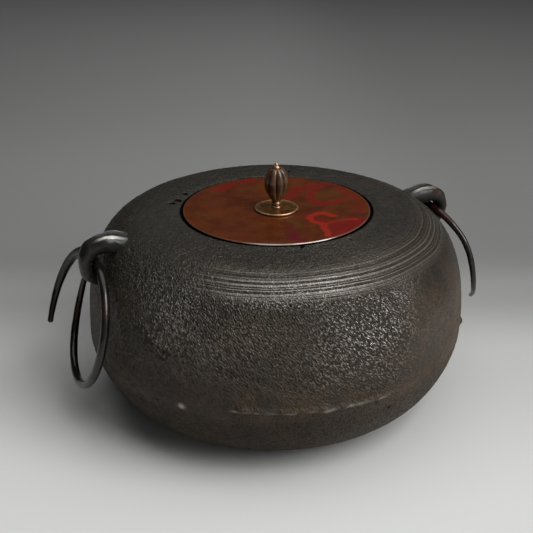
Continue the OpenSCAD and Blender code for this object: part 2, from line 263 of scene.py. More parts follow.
class Paint:
    """A material in the making. Shader inputs that are the same all over are set on the shader itself."""

    def __init__(self, name, constants):
        self.material = bpy.data.materials.new(name)
        self.material.use_nodes = True
        self.tree = self.material.node_tree
        self.shader = self.tree.nodes["Principled BSDF"]
        self.place = self.add("ShaderNodeTexCoord").outputs["Object"]
        self.base = None
        for socket, value in constants.items():
            self.shader.inputs[socket].default_value = value

    def feed(self, socket, value):
        """A socket set to a value, or linked where the value is another node's socket."""
        if isinstance(value, bpy.types.NodeSocket):
            self.tree.links.new(value, socket)
        else:
            socket.default_value = value

    def add(self, kind, settings=None, inputs=None):
        node = self.tree.nodes.new(kind)
        for key, value in (settings or {}).items():
            setattr(node, key, value)
        for key, value in (inputs or {}).items():
            self.feed(node.inputs[key], value)
        return node

    def noise(self, size, detail=3.0, rough=0.55, place=None):
        """Noise from 0 to 1 with features about size millimetres across."""
        inputs = {"Vector": place or self.place, "Scale": 1 / (size * MM), "Detail": detail}
        return self.add("ShaderNodeTexNoise", None, inputs | {"Roughness": rough}).outputs["Fac"]

    def stored(self, name):
        return self.add("ShaderNodeAttribute", {"attribute_name": name}).outputs["Fac"]

    def spread(self, value, low, high, to_low=0.0, to_high=1.0):
        """A value between low and high mapped smoothly to another range."""
        inputs = {"Value": value, "From Min": low, "From Max": high, "To Min": to_low, "To Max": to_high}
        node = self.add("ShaderNodeMapRange", {"interpolation_type": "SMOOTHSTEP"}, inputs)
        return node.outputs["Result"]

    def patches(self, size, detail, rough, low, high, share=1.0):
        """Patches about size millimetres across, where noise is over low, up to share."""
        return self.spread(self.noise(size, detail, rough), low, high, 0.0, share)

    def uneven(self, size, detail, low, high):
        """A value that wanders between low and high."""
        return self.spread(self.noise(size, detail), 0.3, 0.7, low, high)

    def along(self, way):
        """How far each place lies along a direction."""
        inputs = {0: self.place, 1: way}
        return self.add("ShaderNodeVectorMath", {"operation": "DOT_PRODUCT"}, inputs).outputs["Value"]

    def math(self, operation, first, second=0.0):
        node = self.add("ShaderNodeMath", {"operation": operation}, {0: first, 1: second})
        return node.outputs["Value"]

    def times(self, first, second):
        return self.math("MULTIPLY", first, second)

    def plus(self, first, second):
        return self.math("ADD", first, second)

    def most(self, first, second):
        return self.math("MAXIMUM", first, second)

    def mix(self, share, first, second):
        """One colour turning into another as share goes from 0 to 1."""
        inputs = {"Factor": share, "A": first, "B": second}
        node = self.add("ShaderNodeMix", {"data_type": "RGBA"})
        for socket in node.inputs:
            if socket.enabled and socket.name in inputs:
                self.feed(socket, inputs[socket.name])
        return next(socket for socket in node.outputs if socket.enabled)

    def mottled(self, dark, light, wide, fine):
        """A base colour between dark and light, in patches about wide and fine millimetres across."""
        patches = self.times(self.noise(wide, 4), self.noise(fine, 3))
        self.base = self.mix(self.spread(patches, 0.14, 0.40), dark, light)

    def coat(self, share, shade):
        """Another colour over the base colour, all of it where share is 1."""
        self.base = self.mix(share, self.base, shade)

    def bump(self, height, depth, strength=1.0, below=None):
        """A bump of about depth millimetres, over another bump where one is given."""
        inputs = {"Height": height, "Distance": depth * MM, "Strength": strength}
        if below:
            inputs["Normal"] = below
        return self.add("ShaderNodeBump", None, inputs).outputs["Normal"]

    def done(self, **sources):
        """The material, with its base colour and the sources given for other sockets linked to the shader."""
        for socket, source in {"Base Color": self.base, **sources}.items():
            self.tree.links.new(source, self.shader.inputs[socket])
        return self.material


# Iron

TOP_GREY = colour(0.0152, 0.0160, 0.0146)
# Black for painted shade in pits, creases, grooves, the mouth, the lid's gap and under the lugs, and for dark
# stains on the top
PIT_BLACK = colour(0.005, 0.0042, 0.0035)
IRON_RUST = colour(0.054, 0.030, 0.0138)
# Pale for chips along the flange, and for the painted highlight line along it
CHIP_PALE = colour(0.44, 0.41, 0.36)
# Pale bare iron for painted glints and highlights, partly wear: on thread crests, pebble tips and lug ridges
BARE_IRON_GLINT = colour(0.48, 0.46, 0.43)
# Brown-black painted shade for the bottom and the lower left of the wall
LOW_SHADE_BROWN = colour(0.0080, 0.0058, 0.0036)
CAST_DARK = colour(0.0145, 0.0101, 0.0062)
CAST_LIGHT = colour(0.036, 0.0247, 0.0150)
# Pale grey-brown for the rubbed high points and thread crests, partly wear and partly painted sheen
CAST_WORN_SHEEN = colour(0.150, 0.125, 0.096)
CAST_GLOSS = colour(1.0, 0.92, 0.80)
# How far apart the ridges, the pebbles and the fine thread lines of the cast skin are
RIDGE_SIZE = 1.8
PEBBLE_SIZE = 1.20
FINE_THREAD_SIZE = 1.6
# How deep the pebbles and the fine thread lines are as bumps
PEBBLE_BUMP = 0.9
FINE_THREAD_BUMP = 0.7


def iron_paint(name, dark, light, rust, rust_share, roughness, grain, index):
    """Oxidised iron: mottled dark metal with rust patches and a fine grain. Where the mesh stores them,
    painted shade turns it black, and a painted highlight that is partly bare worn metal turns it pale.
    """
    paint = Paint(name, {"IOR": index})
    paint.mottled(dark, light, 30, 6)
    paint.coat(paint.patches(24, 5, 0.62, 0.50, 0.72, rust_share), rust)
    paint.coat(paint.patches(2.4, 2, 0.55, 0.58, 0.72, rust_share * 0.8), rust)
    root, painted_shade, worn_highlight = (paint.stored(key) for key in ("root", "painted_shade", "worn_highlight"))
    paint.coat(root, TOP_GREY)
    # Painted shade: black where the stored shade share is, under the lugs
    paint.coat(painted_shade, PIT_BLACK)
    # Painted highlight, partly wear: pale bare metal where stored, on the lug ridges
    paint.coat(worn_highlight, BARE_IRON_GLINT)
    rough = paint.uneven(4, 4, roughness - 0.09, roughness + 0.09)
    rough = paint.plus(rough, paint.times(paint.most(root, painted_shade), 0.35))
    fine = paint.bump(paint.noise(0.7, 2), grain * 0.4)
    normal = paint.bump(paint.noise(1.25, 3, 0.6), grain, below=fine)
    return paint.done(Metallic=worn_highlight, Roughness=rough, Normal=normal)


def pebble_height(paint):
    """How high the cast skin's leaning ridges and pebbles stand, from 0 to 1."""
    skin = paint.add("ShaderNodeAttribute", {"attribute_name": "skin"}).outputs["Vector"]
    across = paint.math("ABSOLUTE", paint.math("SUBTRACT", paint.noise(RIDGE_SIZE, 1, 0.5, skin), 0.5))
    ridges = paint.spread(across, 0.15, 0.0)
    cells = paint.add("ShaderNodeTexVoronoi", None, {"Vector": skin, "Scale": 1 / (PEBBLE_SIZE * MM)})
    pebbles = paint.spread(cells.outputs["Distance"], 0.72, 0.10)
    return paint.plus(paint.times(ridges, 0.5), paint.times(pebbles, 0.5))


def thread_height(paint):
    """How high the fine thread lines stand, from 0 to 1. They wander a little as they go round."""
    along = paint.plus(paint.stored("along"), paint.times(paint.noise(55, 1), 3.0))
    inputs = {"W": along, "Scale": 1 / FINE_THREAD_SIZE, "Detail": 1.5, "Roughness": 0.5}
    lines = paint.add("ShaderNodeTexNoise", {"noise_dimensions": "1D"}, inputs).outputs["Fac"]
    return paint.spread(lines, 0.34, 0.60)


def cast_paint(name, roughness):
    """The cast skin: rusty in patches and grey on top, with painted shade black in its pits, creases, thread
    grooves and inside and darker low down, and pale high points that are partly wear and partly painted sheen
    and glints.
    """
    paint = Paint(name, {"IOR": 1.50, "Specular Tint": CAST_GLOSS})
    keys = ("grain", "threads", "relief", "bare_glint", "low", "rust", "rubbed_sheen", "chips_and_glint_line")
    grain, threads, relief, bare_glint, low, rust, rubbed_sheen, chips_and_glint_line = (paint.stored(key) for key in keys)
    high = pebble_height(paint)
    lines = thread_height(paint)
    height = paint.add("ShaderNodeSeparateXYZ", None, {0: paint.place}).outputs["Z"]
    on_top = paint.spread(height, 116 * MM, 134 * MM)
    blotches = paint.times(paint.patches(4.2, 4, 0.62, 0.48, 0.62), on_top)
    crests = paint.times(paint.spread(lines, 0.62, 0.95), threads)
    tips = paint.times(paint.spread(high, 0.46, 0.84), grain)
    # Painted glints: the thread crests and pebble tips where they lie in the glint patches
    shiny = paint.times(paint.most(crests, tips), bare_glint)
    # Painted shade: the deep pits and the inside of the mouth and rebate, made duller and metallic so that
    # they read dark
    shaded_hollows = paint.spread(relief, -0.30, -0.60)

    paint.mottled(CAST_DARK, CAST_LIGHT, 26, 5)
    # Painted shade: the bottom and the lower left of the wall darkened
    paint.coat(paint.times(low, 0.75), LOW_SHADE_BROWN)
    paint.coat(paint.times(paint.patches(14, 5, 0.62, 0.38, 0.66), rust), IRON_RUST)
    paint.coat(paint.times(paint.patches(2.2, 2, 0.55, 0.54, 0.70), rust), IRON_RUST)
    paint.coat(paint.spread(height, 100 * MM, 132 * MM, 0.0, 0.65), TOP_GREY)
    paint.coat(paint.times(blotches, 0.85), PIT_BLACK)
    # Pale high points: partly wear, partly painted sheen on the lit side
    paint.coat(paint.times(paint.spread(high, 0.50, 0.85), paint.times(grain, rubbed_sheen)), CAST_WORN_SHEEN)
    # Painted shade: black in the creases between the pebbles
    paint.coat(paint.times(paint.spread(high, 0.48, 0.15, 0.0, 0.85), grain), PIT_BLACK)
    # Painted shade in the grooves of the thread lines, and below it a painted highlight on their crests
    paint.coat(paint.times(paint.spread(lines, 0.5, 0.1), threads), PIT_BLACK)
    paint.coat(paint.times(paint.spread(lines, 0.6, 1.0, 0.0, 0.45), threads), CAST_WORN_SHEEN)
    # Painted shade: black in the pits and all over the inside, where the stored relief is low
    paint.coat(paint.spread(relief, -0.10, -0.45, 0.0, 0.85), PIT_BLACK)
    # Painted glints as pale bare metal
    paint.coat(shiny, BARE_IRON_GLINT)
    # Pale chips, and a painted highlight line along the flange
    paint.coat(chips_and_glint_line, CHIP_PALE)

    rough = paint.uneven(4, 4, roughness - 0.05, roughness + 0.07)
    duller = (
        paint.spread(height, 92 * MM, 62 * MM, 0.0, 0.22),
        paint.times(shaded_hollows, 0.45),
        paint.times(rust, 0.15),
        paint.times(low, 0.08),
        paint.times(blotches, 0.20),
        paint.times(paint.spread(high, 0.5, 0.15, 0.0, 0.22), grain),
        paint.times(paint.spread(lines, 0.5, 0.1, -0.06, 0.35), threads),
    )
    for amount in duller:
        rough = paint.plus(rough, amount)
    # Metallic on the painted glints, and on the painted shade in hollows and low down, where it darkens the
    # colour further
    metal = paint.most(shiny, paint.most(shaded_hollows, paint.times(low, 0.35)))
    normal = paint.bump(lines, FINE_THREAD_BUMP, threads)
    normal = paint.bump(high, PEBBLE_BUMP, grain, below=normal)
    return paint.done(Metallic=metal, Roughness=rough, Normal=normal)


# Bronze, brass and copper

# Pale bronze for the seat's rim, partly wear and partly a painted highlight
RUBBED_SHEEN_BRONZE = colour(0.52, 0.36, 0.22)


def bronze_paint(name, dark, light, roughness, stain, stain_share):
    """Worn bronze, brass or copper with darker stains, pale where the stored share is: partly wear and partly
    a painted highlight.
    """
    paint = Paint(name, {"Metallic": 0.85})
    paint.base = paint.mix(paint.patches(6, 4, 0.55, 0.35, 0.65), dark, light)
    paint.coat(paint.patches(2.2, 4, 0.55, 0.48, 0.70, stain_share), stain)
    # Painted highlight, partly wear, where the stored share is
    paint.coat(paint.stored("rubbed_sheen"), RUBBED_SHEEN_BRONZE)
    rough = paint.uneven(3, 3, roughness - 0.08, roughness + 0.08)
    return paint.done(Roughness=rough, Normal=paint.bump(paint.noise(0.7, 2), 0.03))


def bud_paint():
    """Brown bronze, with painted shade dark in the flutes."""
    paint = Paint("bud_bronze", {"Metallic": 0.1, "IOR": 1.52})
    brown, pale_brown = colour(0.050, 0.024, 0.0115), colour(0.105, 0.050, 0.023)
    paint.base = paint.mix(paint.patches(5, 4, 0.55, 0.35, 0.65), brown, pale_brown)
    # Painted shade: dark in the flutes
    paint.coat(paint.spread(paint.stored("flute_shade"), 0.35, 0.95), colour(0.014, 0.008, 0.005))
    rough = paint.uneven(2, 3, 0.14, 0.24)
    return paint.done(Roughness=rough, Normal=paint.bump(paint.noise(0.8, 2), 0.03))


# The lid's patina, in the order that it is laid: a name, its colour, a seed and its brush strokes.
# A stroke has the places that it goes through in millimetres, half its width, and how strongly it shows.
PATINA = (
    ("olive", colour(0.074, 0.029, 0.0048), 130, (
        (((41, 13), (52, 9)), 6.0, 0.7),
        (((0, -24), (1.6, -30), (2.2, -37)), 3.0, 0.8),
        (((-56, 11), (-52, 4), (-49, -2)), 3.0, 0.5),
        (((-12, 43), (-1, 45), (8, 46)), 3.4, 0.5),
        (((22, -1), (24, -4)), 3.6, 0.6),
        (((38, -13), (46, -17)), 3.2, 0.4),
    )),
    ("red", colour(0.135, 0.0080, 0.0050), 100, (
        (((13, 12), (20, 20)), 2.4, 0.7),
        (((20, 20), (28, 29), (35, 31), (41, 31)), 4.2, 0.9),
        (((54, 30), (45, 27), (37, 20), (31.5, 10), (30, 2), (33, -4.5), (39, -6.5), (48, -5)), 3.3, 0.8),
        (((60, 26), (61, 16), (59, 4), (60, -8)), 5.0, 0.5),
        (((-27, 50), (-20, 54), (-13, 57)), 4.6, 0.75),
        (((-4, 60), (5, 60)), 3.6, 0.9),
        (((22, -48), (29, -49), (37, -46)), 8.5, 1.0),
        (((14, -61), (25, -58)), 6.0, 1.0),
        (((17, -23), (16, -30), (20, -34)), 4.5, 0.9),
        (((51, -30), (58, -20)), 5.0, 0.4),
    )),
    ("magenta", colour(0.098, 0.0060, 0.0085), 120, (
        (((-5, -35), (-7.5, -45)), 2.2, 0.7),
        (((-7.5, -45), (-10, -58)), 3.6, 0.85),
        (((-14, -56), (-7, -60)), 3.6, 0.85),
        (((17.5, -26), (17, -31)), 2.6, 0.35),
    )),
    ("orange", colour(0.270, 0.0170, 0.0060), 110, (
        (((30, -28), (29, -23), (25.6, -19.6), (21.4, -18.8), (16, -21.6), (13.2, -26.5), (13, -32),
          (17, -36.5), (17.5, -42), (15, -50), (10.5, -60)), 2.3, 0.8),
        (((19.6, -39.5), (27, -38.3), (34, -40), (41, -42)), 1.9, 0.6),
    )),
)


def stroke_shares(points, strokes, seed):
    """How strongly the strokes cover each point of the lid, from 0 to 1, with uneven edges."""
    x = points[..., 0] + 2.6 * noise(points, 11, seed) + 0.6 * noise(points, 3.5, seed + 1)
    y = points[..., 1] + 2.6 * noise(points, 11, seed + 2) + 0.6 * noise(points, 3.5, seed + 3)
    total = np.zeros_like(x)
    for places, half_width, strength in strokes:
        for (ax, ay), (bx, by) in zip(places, places[1:]):
            run_x, run_y = bx - ax, by - ay
            along = np.clip(((x - ax) * run_x + (y - ay) * run_y) / (run_x ** 2 + run_y ** 2), 0, 1)
            gap = np.hypot(x - ax - along * run_x, y - ay - along * run_y)
            total = np.maximum(total, strength * fade(gap, half_width * 1.4, half_width * 0.55))
    return total


def lid_paint():
    """Bronze with a brown patina that changes colour in the stored strokes, a painted highlight along its
    edge that is partly bare wear, and painted shade under the edge.
    """
    paint = Paint("lid_patina", {"IOR": 1.45})
    brown, light_brown = colour(0.062, 0.0125, 0.0030), colour(0.098, 0.0210, 0.0032)
    paint.base = paint.mix(paint.patches(15, 4, 0.55, 0.30, 0.70), brown, light_brown)
    paint.coat(paint.patches(8, 5, 0.55, 0.52, 0.74, 0.4), colour(0.076, 0.026, 0.0036))
    paint.coat(paint.patches(24, 3, 0.55, 0.54, 0.72, 0.35), colour(0.060, 0.009, 0.0045))
    for key, shade, _, _ in PATINA:
        paint.coat(paint.stored(key), shade)
    edge, painted_shade = paint.stored("edge"), paint.stored("painted_shade")
    # Painted highlight: the edge near white, strongest at the front
    paint.coat(edge, colour(0.86, 0.80, 0.72))
    # Painted shade: black under the edge and down its side, in the gap round the lid
    paint.coat(painted_shade, PIT_BLACK)
    # Metallic in the painted shade, which darkens it further, and on the bright edge
    metal = paint.most(painted_shade, paint.spread(edge, 0.1, 0.6, 0.08, 0.45))
    normal = paint.bump(paint.noise(1.6, 2), 0.02)
    return paint.done(Metallic=metal, Roughness=paint.uneven(11, 4, 0.19, 0.29), Normal=normal)


# Cast skin of the body and the bottom

# The middle of the stretch where the broken flange shows plainly, in degrees round the kettle
FLANGE_ANGLE = -101.0
# Thread lines left by the modelling board: their radius on the shoulder and how strongly each stands out
THREAD_LINES = (
    (83.6, 0.25), (89.4, 0.35), (93.1, 0.45), (97.2, 0.45), (100.2, 0.6), (102.3, 0.6), (104.5, 0.5),
    (107.8, 0.85), (109.6, 0.6), (110.9, 0.8), (112.6, 0.8), (114.7, 1.0), (116.4, 0.8), (117.6, 0.9),
    (118.8, 0.6), (122.0, 0.15),
)
THREAD_W = 0.75
THREAD_H = 0.45
# Lumps of the broken flange: angle round the kettle, how far out, and half the angle that each spans
FLANGE_LUMPS = (
    (-121.5, 1.9, 3.0), (-100.5, 2.1, 2.4), (-95, 0.9, 3), (-84, 1.2, 3), (-33, 2.2, 3.2), (38, 1.9, 4),
    (112, 1.9, 4),
)
# Pale chips along the broken flange, the first one just below it: angle, height, half length, half height,
# and how pale each is
PALE_CHIPS = (
    (-138.2, 54.6, 1.6, 1.3, 3.0), (-123.5, 58.0, 2.6, 0.8, 0.55), (-117.5, 58.4, 2.0, 0.6, 0.5),
    (-99.5, 58.2, 3.0, 0.8, 0.6), (-94, 59.2, 2.0, 0.6, 0.5), (-84, 58.8, 2.4, 0.9, 0.6),
)
# The thin pale line along the broken flange, a painted highlight on its edge: its height, half its height,
# and how pale it is
PALE_LINE_Z = 58.9
PALE_LINE_W = 0.6
PALE_LINE_SHARE = 0.40
# Casting pits: angle, radius, size and depth
CASTING_PITS = (
    (135.5, 73.0, 2.4, 2.6), (146.5, 72.6, 3.2, 2.8), (152, 75.0, 2.6, 2.4), (-99.2, 70.0, 1.9, 1.6),
    (-84, 78, 1.5, 0.5), (-104, 76, 1.4, 0.5), (-72, 73.5, 1.8, 0.6), (60, 80.0, 2.2, 0.6),
)
# The casting stands a little off its axis toward one side: that side's angle, and how far the body and pan do
SWAY_ANGLE = 158.0
BODY_SWAY = 0.75
PAN_SWAY = 1.6
# How far the skin's pebbles lean, as a slope, and how far heights are squeezed to make them tall
SKIN_LEAN = 0.7
SKIN_SQUEEZE = 0.62
# Raised streaks on the wall: angle and height at both ends, and how far each stands out
WALL_STREAKS = ((-152.0, 98.5, -141.5, 89.5, 0.95), (-153.0, 95.0, -143.0, 85.5, 0.85))


class Skin:
    """The outside of a casting before it is dressed: a line turned about the axis."""

    def __init__(self, line, sides):
        self.line = line
        self.angles = ring_angles(sides)
        self.points = turned(line, sides)
        self.shape = self.points.shape[:2]
        self.radius, self.height = line[:, :1], line[:, 1:]
        self.circle = np.stack([np.cos(self.angles), np.sin(self.angles), np.zeros(sides)], -1) * BODY_R

    def near(self, middle, width):
        return near_angle(self.angles, middle, width)

    def climb(self, start, end):
        return fade(self.height, start, end)

    def noise(self, size, seed):
        return noise(self.points, size, seed)

    def round_noise(self, size, seed):
        """Noise that depends on the angle alone."""
        return noise(self.circle, size, seed)


def sway(skin):
    """How far the uneven casting stands out from a true round, more so at the bottom."""
    amount = PAN_SWAY + (BODY_SWAY - PAN_SWAY) * skin.climb(45, 75)
    return amount * np.cos(skin.angles - math.radians(SWAY_ANGLE))


def wall_unevenness(skin):
    """Slow waves of the cast wall."""
    return 0.45 * skin.noise(70, 20) + 0.22 * skin.noise(22, 21)


def skin_places(points, angles):
    """Places on the cast skin, sheared and squeezed so that what is drawn with them leans and stands tall."""
    twist = angles + SKIN_LEAN * points[..., 2] / BODY_R
    radius = np.hypot(points[..., 0], points[..., 1])
    return np.stack([radius * np.cos(twist), radius * np.sin(twist), points[..., 2] * SKIN_SQUEEZE], -1)


def thread_calm(skin):
    """How plainly the thread lines stand: at the front and right, and faintly at the back."""
    front = 1 - fade(np.abs(degrees_off(skin.angles, -55)), 66, 96)
    return front + 0.35 * skin.near(105, 70)


def thread_relief(skin):
    """Uneven raised lines round the shoulder, which wander a little and fade in places."""
    along = line_lengths(skin.line)
    total = np.zeros(skin.shape)
    for number, (radius, strength) in enumerate(THREAD_LINES):
        place = np.interp(-radius, -skin.line[:, 0], along)
        wander = 0.6 * skin.round_noise(60, number) + 0.2 * skin.round_noise(14, number + 40)
        height = strength * np.clip(0.75 + 0.8 * skin.round_noise(48, number + 80), 0.1, 1.2)
        across = (along[:, None] - place - wander) / THREAD_W
        total += np.exp(-across ** 2) * height
    quiet = 1 - 0.75 * skin.near(-32, 60)
    return total * thread_calm(skin) * quiet * THREAD_H


def thread_share(skin):
    """How strongly fine thread lines show at each point: on the shoulder, and in patches."""
    band = fade(skin.radius, 92, 106) * skin.climb(123, 127.5)
    patchy = np.clip(0.9 + 0.7 * skin.noise(45, 24), 0.3, 1.0)
    return band * patchy * thread_calm(skin)


def rust_share(skin):
    """How much brown rust shows: most low down and on the right of the wall, least on the top."""
    side = skin.near(-32, 66) * skin.climb(132, 104)
    share = 0.22 + 0.50 * side + 0.24 * skin.climb(104, 62)
    return np.clip(share * (1 + 0.8 * skin.noise(30, 26)), 0.05, 0.9)


def chip_and_glint_share(points):
    """Where pale chips, and a broken pale line that is a painted highlight, show along the flange."""
    angles = np.arctan2(points[..., 1], points[..., 0])
    height = points[..., 2]
    broken = np.clip(0.8 + 1.2 * noise(points, 2.2, 37), 0.3, 1)
    ragged_height = height + 0.5 * noise(points, 4, 29)
    total = np.zeros(angles.shape)
    for middle, chip_z, half_length, half_height, pale in PALE_CHIPS:
        sideways = (angles - math.radians(middle)) * BODY_R / half_length
        upward = (ragged_height - chip_z) / half_height
        total += pale * np.exp(-sideways ** 2 - upward ** 2) * broken
    above = height - PALE_LINE_Z + 0.7 * noise(points, 16, 6)
    line = np.exp(-(above / PALE_LINE_W) ** 2) * near_angle(angles, FLANGE_ANGLE, 31)
    total += PALE_LINE_SHARE * line * np.clip(0.25 + 1.6 * noise(points, 6, 38), 0, 1)
    return np.clip(total, 0, 1)


def low_shade_share(skin):
    """How much painted shade darkens the skin, and how much duller it is, low down: all of the bottom, and
    the left of the wall above it.
    """
    left = 0.40 * skin.near(-132, 58) * skin.climb(108, 60)
    bottom = skin.climb(JOINT_Z, 44) * (1 - 0.75 * skin.near(-66, 50))
    return np.maximum(left, bottom)


def rubbed_sheen_share(skin):
    """How pale the high points are, partly as wear and partly as painted sheen where the light falls: most on
    the right of the front, and little low down.
    """
    share = np.clip(0.05 + 0.60 * skin.near(-84, 34) + 0.2 * skin.noise(26, 28), 0.03, 1.1)
    return share * (1 - 0.7 * skin.climb(76, 60))


def bare_glint_share(skin):
    """Where painted glints, given as bare iron on the high points, stand: the shoulder's front, and the wall
    right of it.
    """
    shoulder = 0.66 * skin.near(-107, 38) * skin.climb(119, 124) * skin.climb(137.2, 131)
    wall = skin.near(-85, 24) * skin.climb(78, 104) * skin.climb(126, 118)
    low_wall = 0.40 * skin.near(-88, 24) * skin.climb(62, 90) * skin.climb(124, 114)
    left = 0.25 * skin.near(-142, 20) * skin.climb(84, 98) * skin.climb(134, 126)
    patchy = np.clip(0.85 + 0.5 * skin.noise(22, 25) + 0.3 * skin.noise(7, 27), 0.1, 1.0)
    return np.maximum.reduce([shoulder, wall, low_wall, left]) * patchy


def grain_share(skin, threads):
    """How coarse the skin is: coarse on the front of the wall, finer on the top, the sides and low down."""
    wall = fade(skin.height, 50, 86 - 12 * skin.near(-84, 22)) * skin.climb(134, 122)
    patchy = np.clip(0.9 + 0.8 * skin.noise(40, 3), 0.4, 1.2)
    right = fade(np.abs(np.degrees(skin.angles) - 345), 71, 52)
    side = 1 - 0.95 * right - 0.8 * skin.near(178, 22)
    coarse = 0.6 * skin.near(-141, 26) * skin.climb(78, 92)
    top = 0.10 * skin.climb(118, 134) + 0.40 * skin.near(-125, 90) * skin.climb(124, 134)
    share = 0.35 - 0.10 * right + top + wall * (0.85 * patchy * side + coarse)
    return np.clip(share * (1 - 0.55 * threads), 0, 1.3)


def grain_relief(skin, share):
    """Pebbly cast skin: short leaning ridges, pebbles, and a few wider dents."""
    ridges = 0.45 - 2.2 * np.abs(noise(skin_places(skin.points, skin.angles), 2.4, 1))
    pebbles = skin.noise(2.1, 2)
    dents = np.minimum(0, skin.noise(4.5, 5) + 0.12)
    front_top = skin.near(-115, 95) * skin.climb(126, 134)
    return share * (0.36 * ridges + 0.38 * pebbles) + (0.16 + 0.75 * front_top) * dents


def streak_relief(skin):
    """Raised streaks that run down across the wall, a little bowed."""
    turn = degrees_off(skin.angles, 0)
    total = np.zeros(skin.shape)
    for turn_a, z_a, turn_b, z_b, out in WALL_STREAKS:
        place = np.clip((turn - turn_a) / (turn_b - turn_a), 0, 1)
        bow = 1.2 * np.sin(np.pi * place)
        gap_z = skin.height - (z_a + (z_b - z_a) * place) + bow
        gap_turn = np.radians(turn - (turn_a + (turn_b - turn_a) * place)) * BODY_R
        total += out * np.exp(-gap_z ** 2 - (gap_turn / 3.0) ** 2)
    return total


def flange_relief(skin):
    """The ragged edge where the flange was broken off, plain at the front and faint elsewhere, with lumps."""
    sag = 0.9 * skin.round_noise(16, 6) + 0.4 * skin.round_noise(5, 7)
    height = skin.height + sag
    ledge = fade(height, 57.6, 58.7) * fade(height, 61.6, 59.6)
    uneven = 1 + 1.6 * skin.round_noise(11, 8) + 1.2 * skin.round_noise(4, 9)
    total = ledge * np.clip((0.05 + 1.15 * skin.near(FLANGE_ANGLE, 32)) * uneven, -0.15, 1.5)
    for middle, out, span in FLANGE_LUMPS:
        lump = skin.near(middle, span) * np.exp(-((height - 59.8) / 2.2) ** 2)
        total = total + lump * out * (1 + 0.4 * skin.round_noise(3, 10))
    return total


def edge_drop(skin):
    """How far the broken edge hangs below the joint, unevenly, at the front."""
    ragged = 0.7 + 1.0 * skin.round_noise(10, 11) + 0.7 * skin.round_noise(3.6, 12)
    return -skin.climb(60.5, JOINT_Z) * np.clip(ragged, 0, 1.9) * skin.near(FLANGE_ANGLE, 34)


def pit_relief(skin):
    """A few casting pits in the top, with steep uneven sides."""
    uneven = 1 + 0.45 * skin.round_noise(1.6, 13)
    total = np.zeros(skin.shape)
    for middle, radius, size, depth in CASTING_PITS:
        sideways = np.radians(degrees_off(skin.angles, middle)) * radius
        gap = np.hypot(sideways, skin.radius - radius)
        total -= depth * fade(gap, size * uneven, 0.4 * size) * (skin.height > 120)
    return total


def with_inside(stored, skin, inside):
    """Stored values for all of a casting, from values for its outside and one value for all of its inside."""
    plain = np.zeros(inside.shape[:2])
    values = {}
    for key, (outer, inner) in stored.items():
        values[key] = np.concatenate([np.broadcast_to(outer, skin.shape), plain + inner])
    return values


# Body

BODY_SIDES = 680
# How far the mouth's rim is rounded, and how far the small corners inside are
RIM_SOFT = 0.9
SOFT = 0.4


def eased_low(first, second):
    """The lower of two heights, with the corner between them eased."""
    gap = np.abs(first - second)
    return np.minimum(first, second) - np.maximum(FLAT_EASE - gap, 0) ** 2 / (4 * FLAT_EASE)


def shoulder_line(inset, low_z, end_r):
    """The shoulder's outline, from a height on the wall to a radius on the flat top."""
    half, rise = BODY_R - inset, SHOULDER_H - inset
    top = math.acos((end_r / half) ** (SHOULDER_POWER / 2))
    low = math.asin((low_z - FLANGE_Z) / rise)
    angles = np.linspace(low, top, 3000)
    height = eased_low(FLANGE_Z + rise * np.sin(angles), FLAT_Z - inset)
    return np.stack([half * np.cos(angles) ** (2 / SHOULDER_POWER), height], -1)


def body_line():
    """The body's outside, with close rows at the flange, the thread lines and the casting pits."""
    line = shoulder_line(0, JOINT_Z, REBATE_R + RIM_SOFT)
    line[line[:, 1] < FLANGE_Z, 0] = BODY_R
    radius, height = line.T
    spacing = np.full(len(line), 1.15)
    spacing[(radius > 88) & (height > 116)] = 0.85
    spacing[radius <= 88] = 2.0
    spacing[radius <= 78] = 0.9
    spacing[height < 64] = 0.9
    return spaced_rows(line, spacing)


def body_inside_line():
    """The mouth, the rebate that the lid sits in, and the inside, from the rim down to the joint."""
    lip_r = REBATE_R + WALL
    under_z = SEAT_Z - MOUTH_LIP_H
    inside = shoulder_line(WALL, LAP_TOP_Z, lip_r)[::-1]
    inside = spaced_rows(inside, np.full(len(inside), 14.0))
    mouth = [
        (REBATE_R + 0.35, FLAT_Z - 0.15), (REBATE_R, FLAT_Z - 0.8), (REBATE_R, SEAT_Z + SOFT),
        (REBATE_R - SOFT, SEAT_Z), (MOUTH_R + SOFT, SEAT_Z), (MOUTH_R, SEAT_Z - SOFT),
        (MOUTH_R, under_z + SOFT), (MOUTH_R + SOFT, under_z), (lip_r, under_z),
    ]
    lap = [(LAP_R, LAP_TOP_Z), (LAP_R, JOINT_Z + SOFT), (LAP_R + SOFT, JOINT_Z)]
    return np.concatenate([mouth, inside, lap])


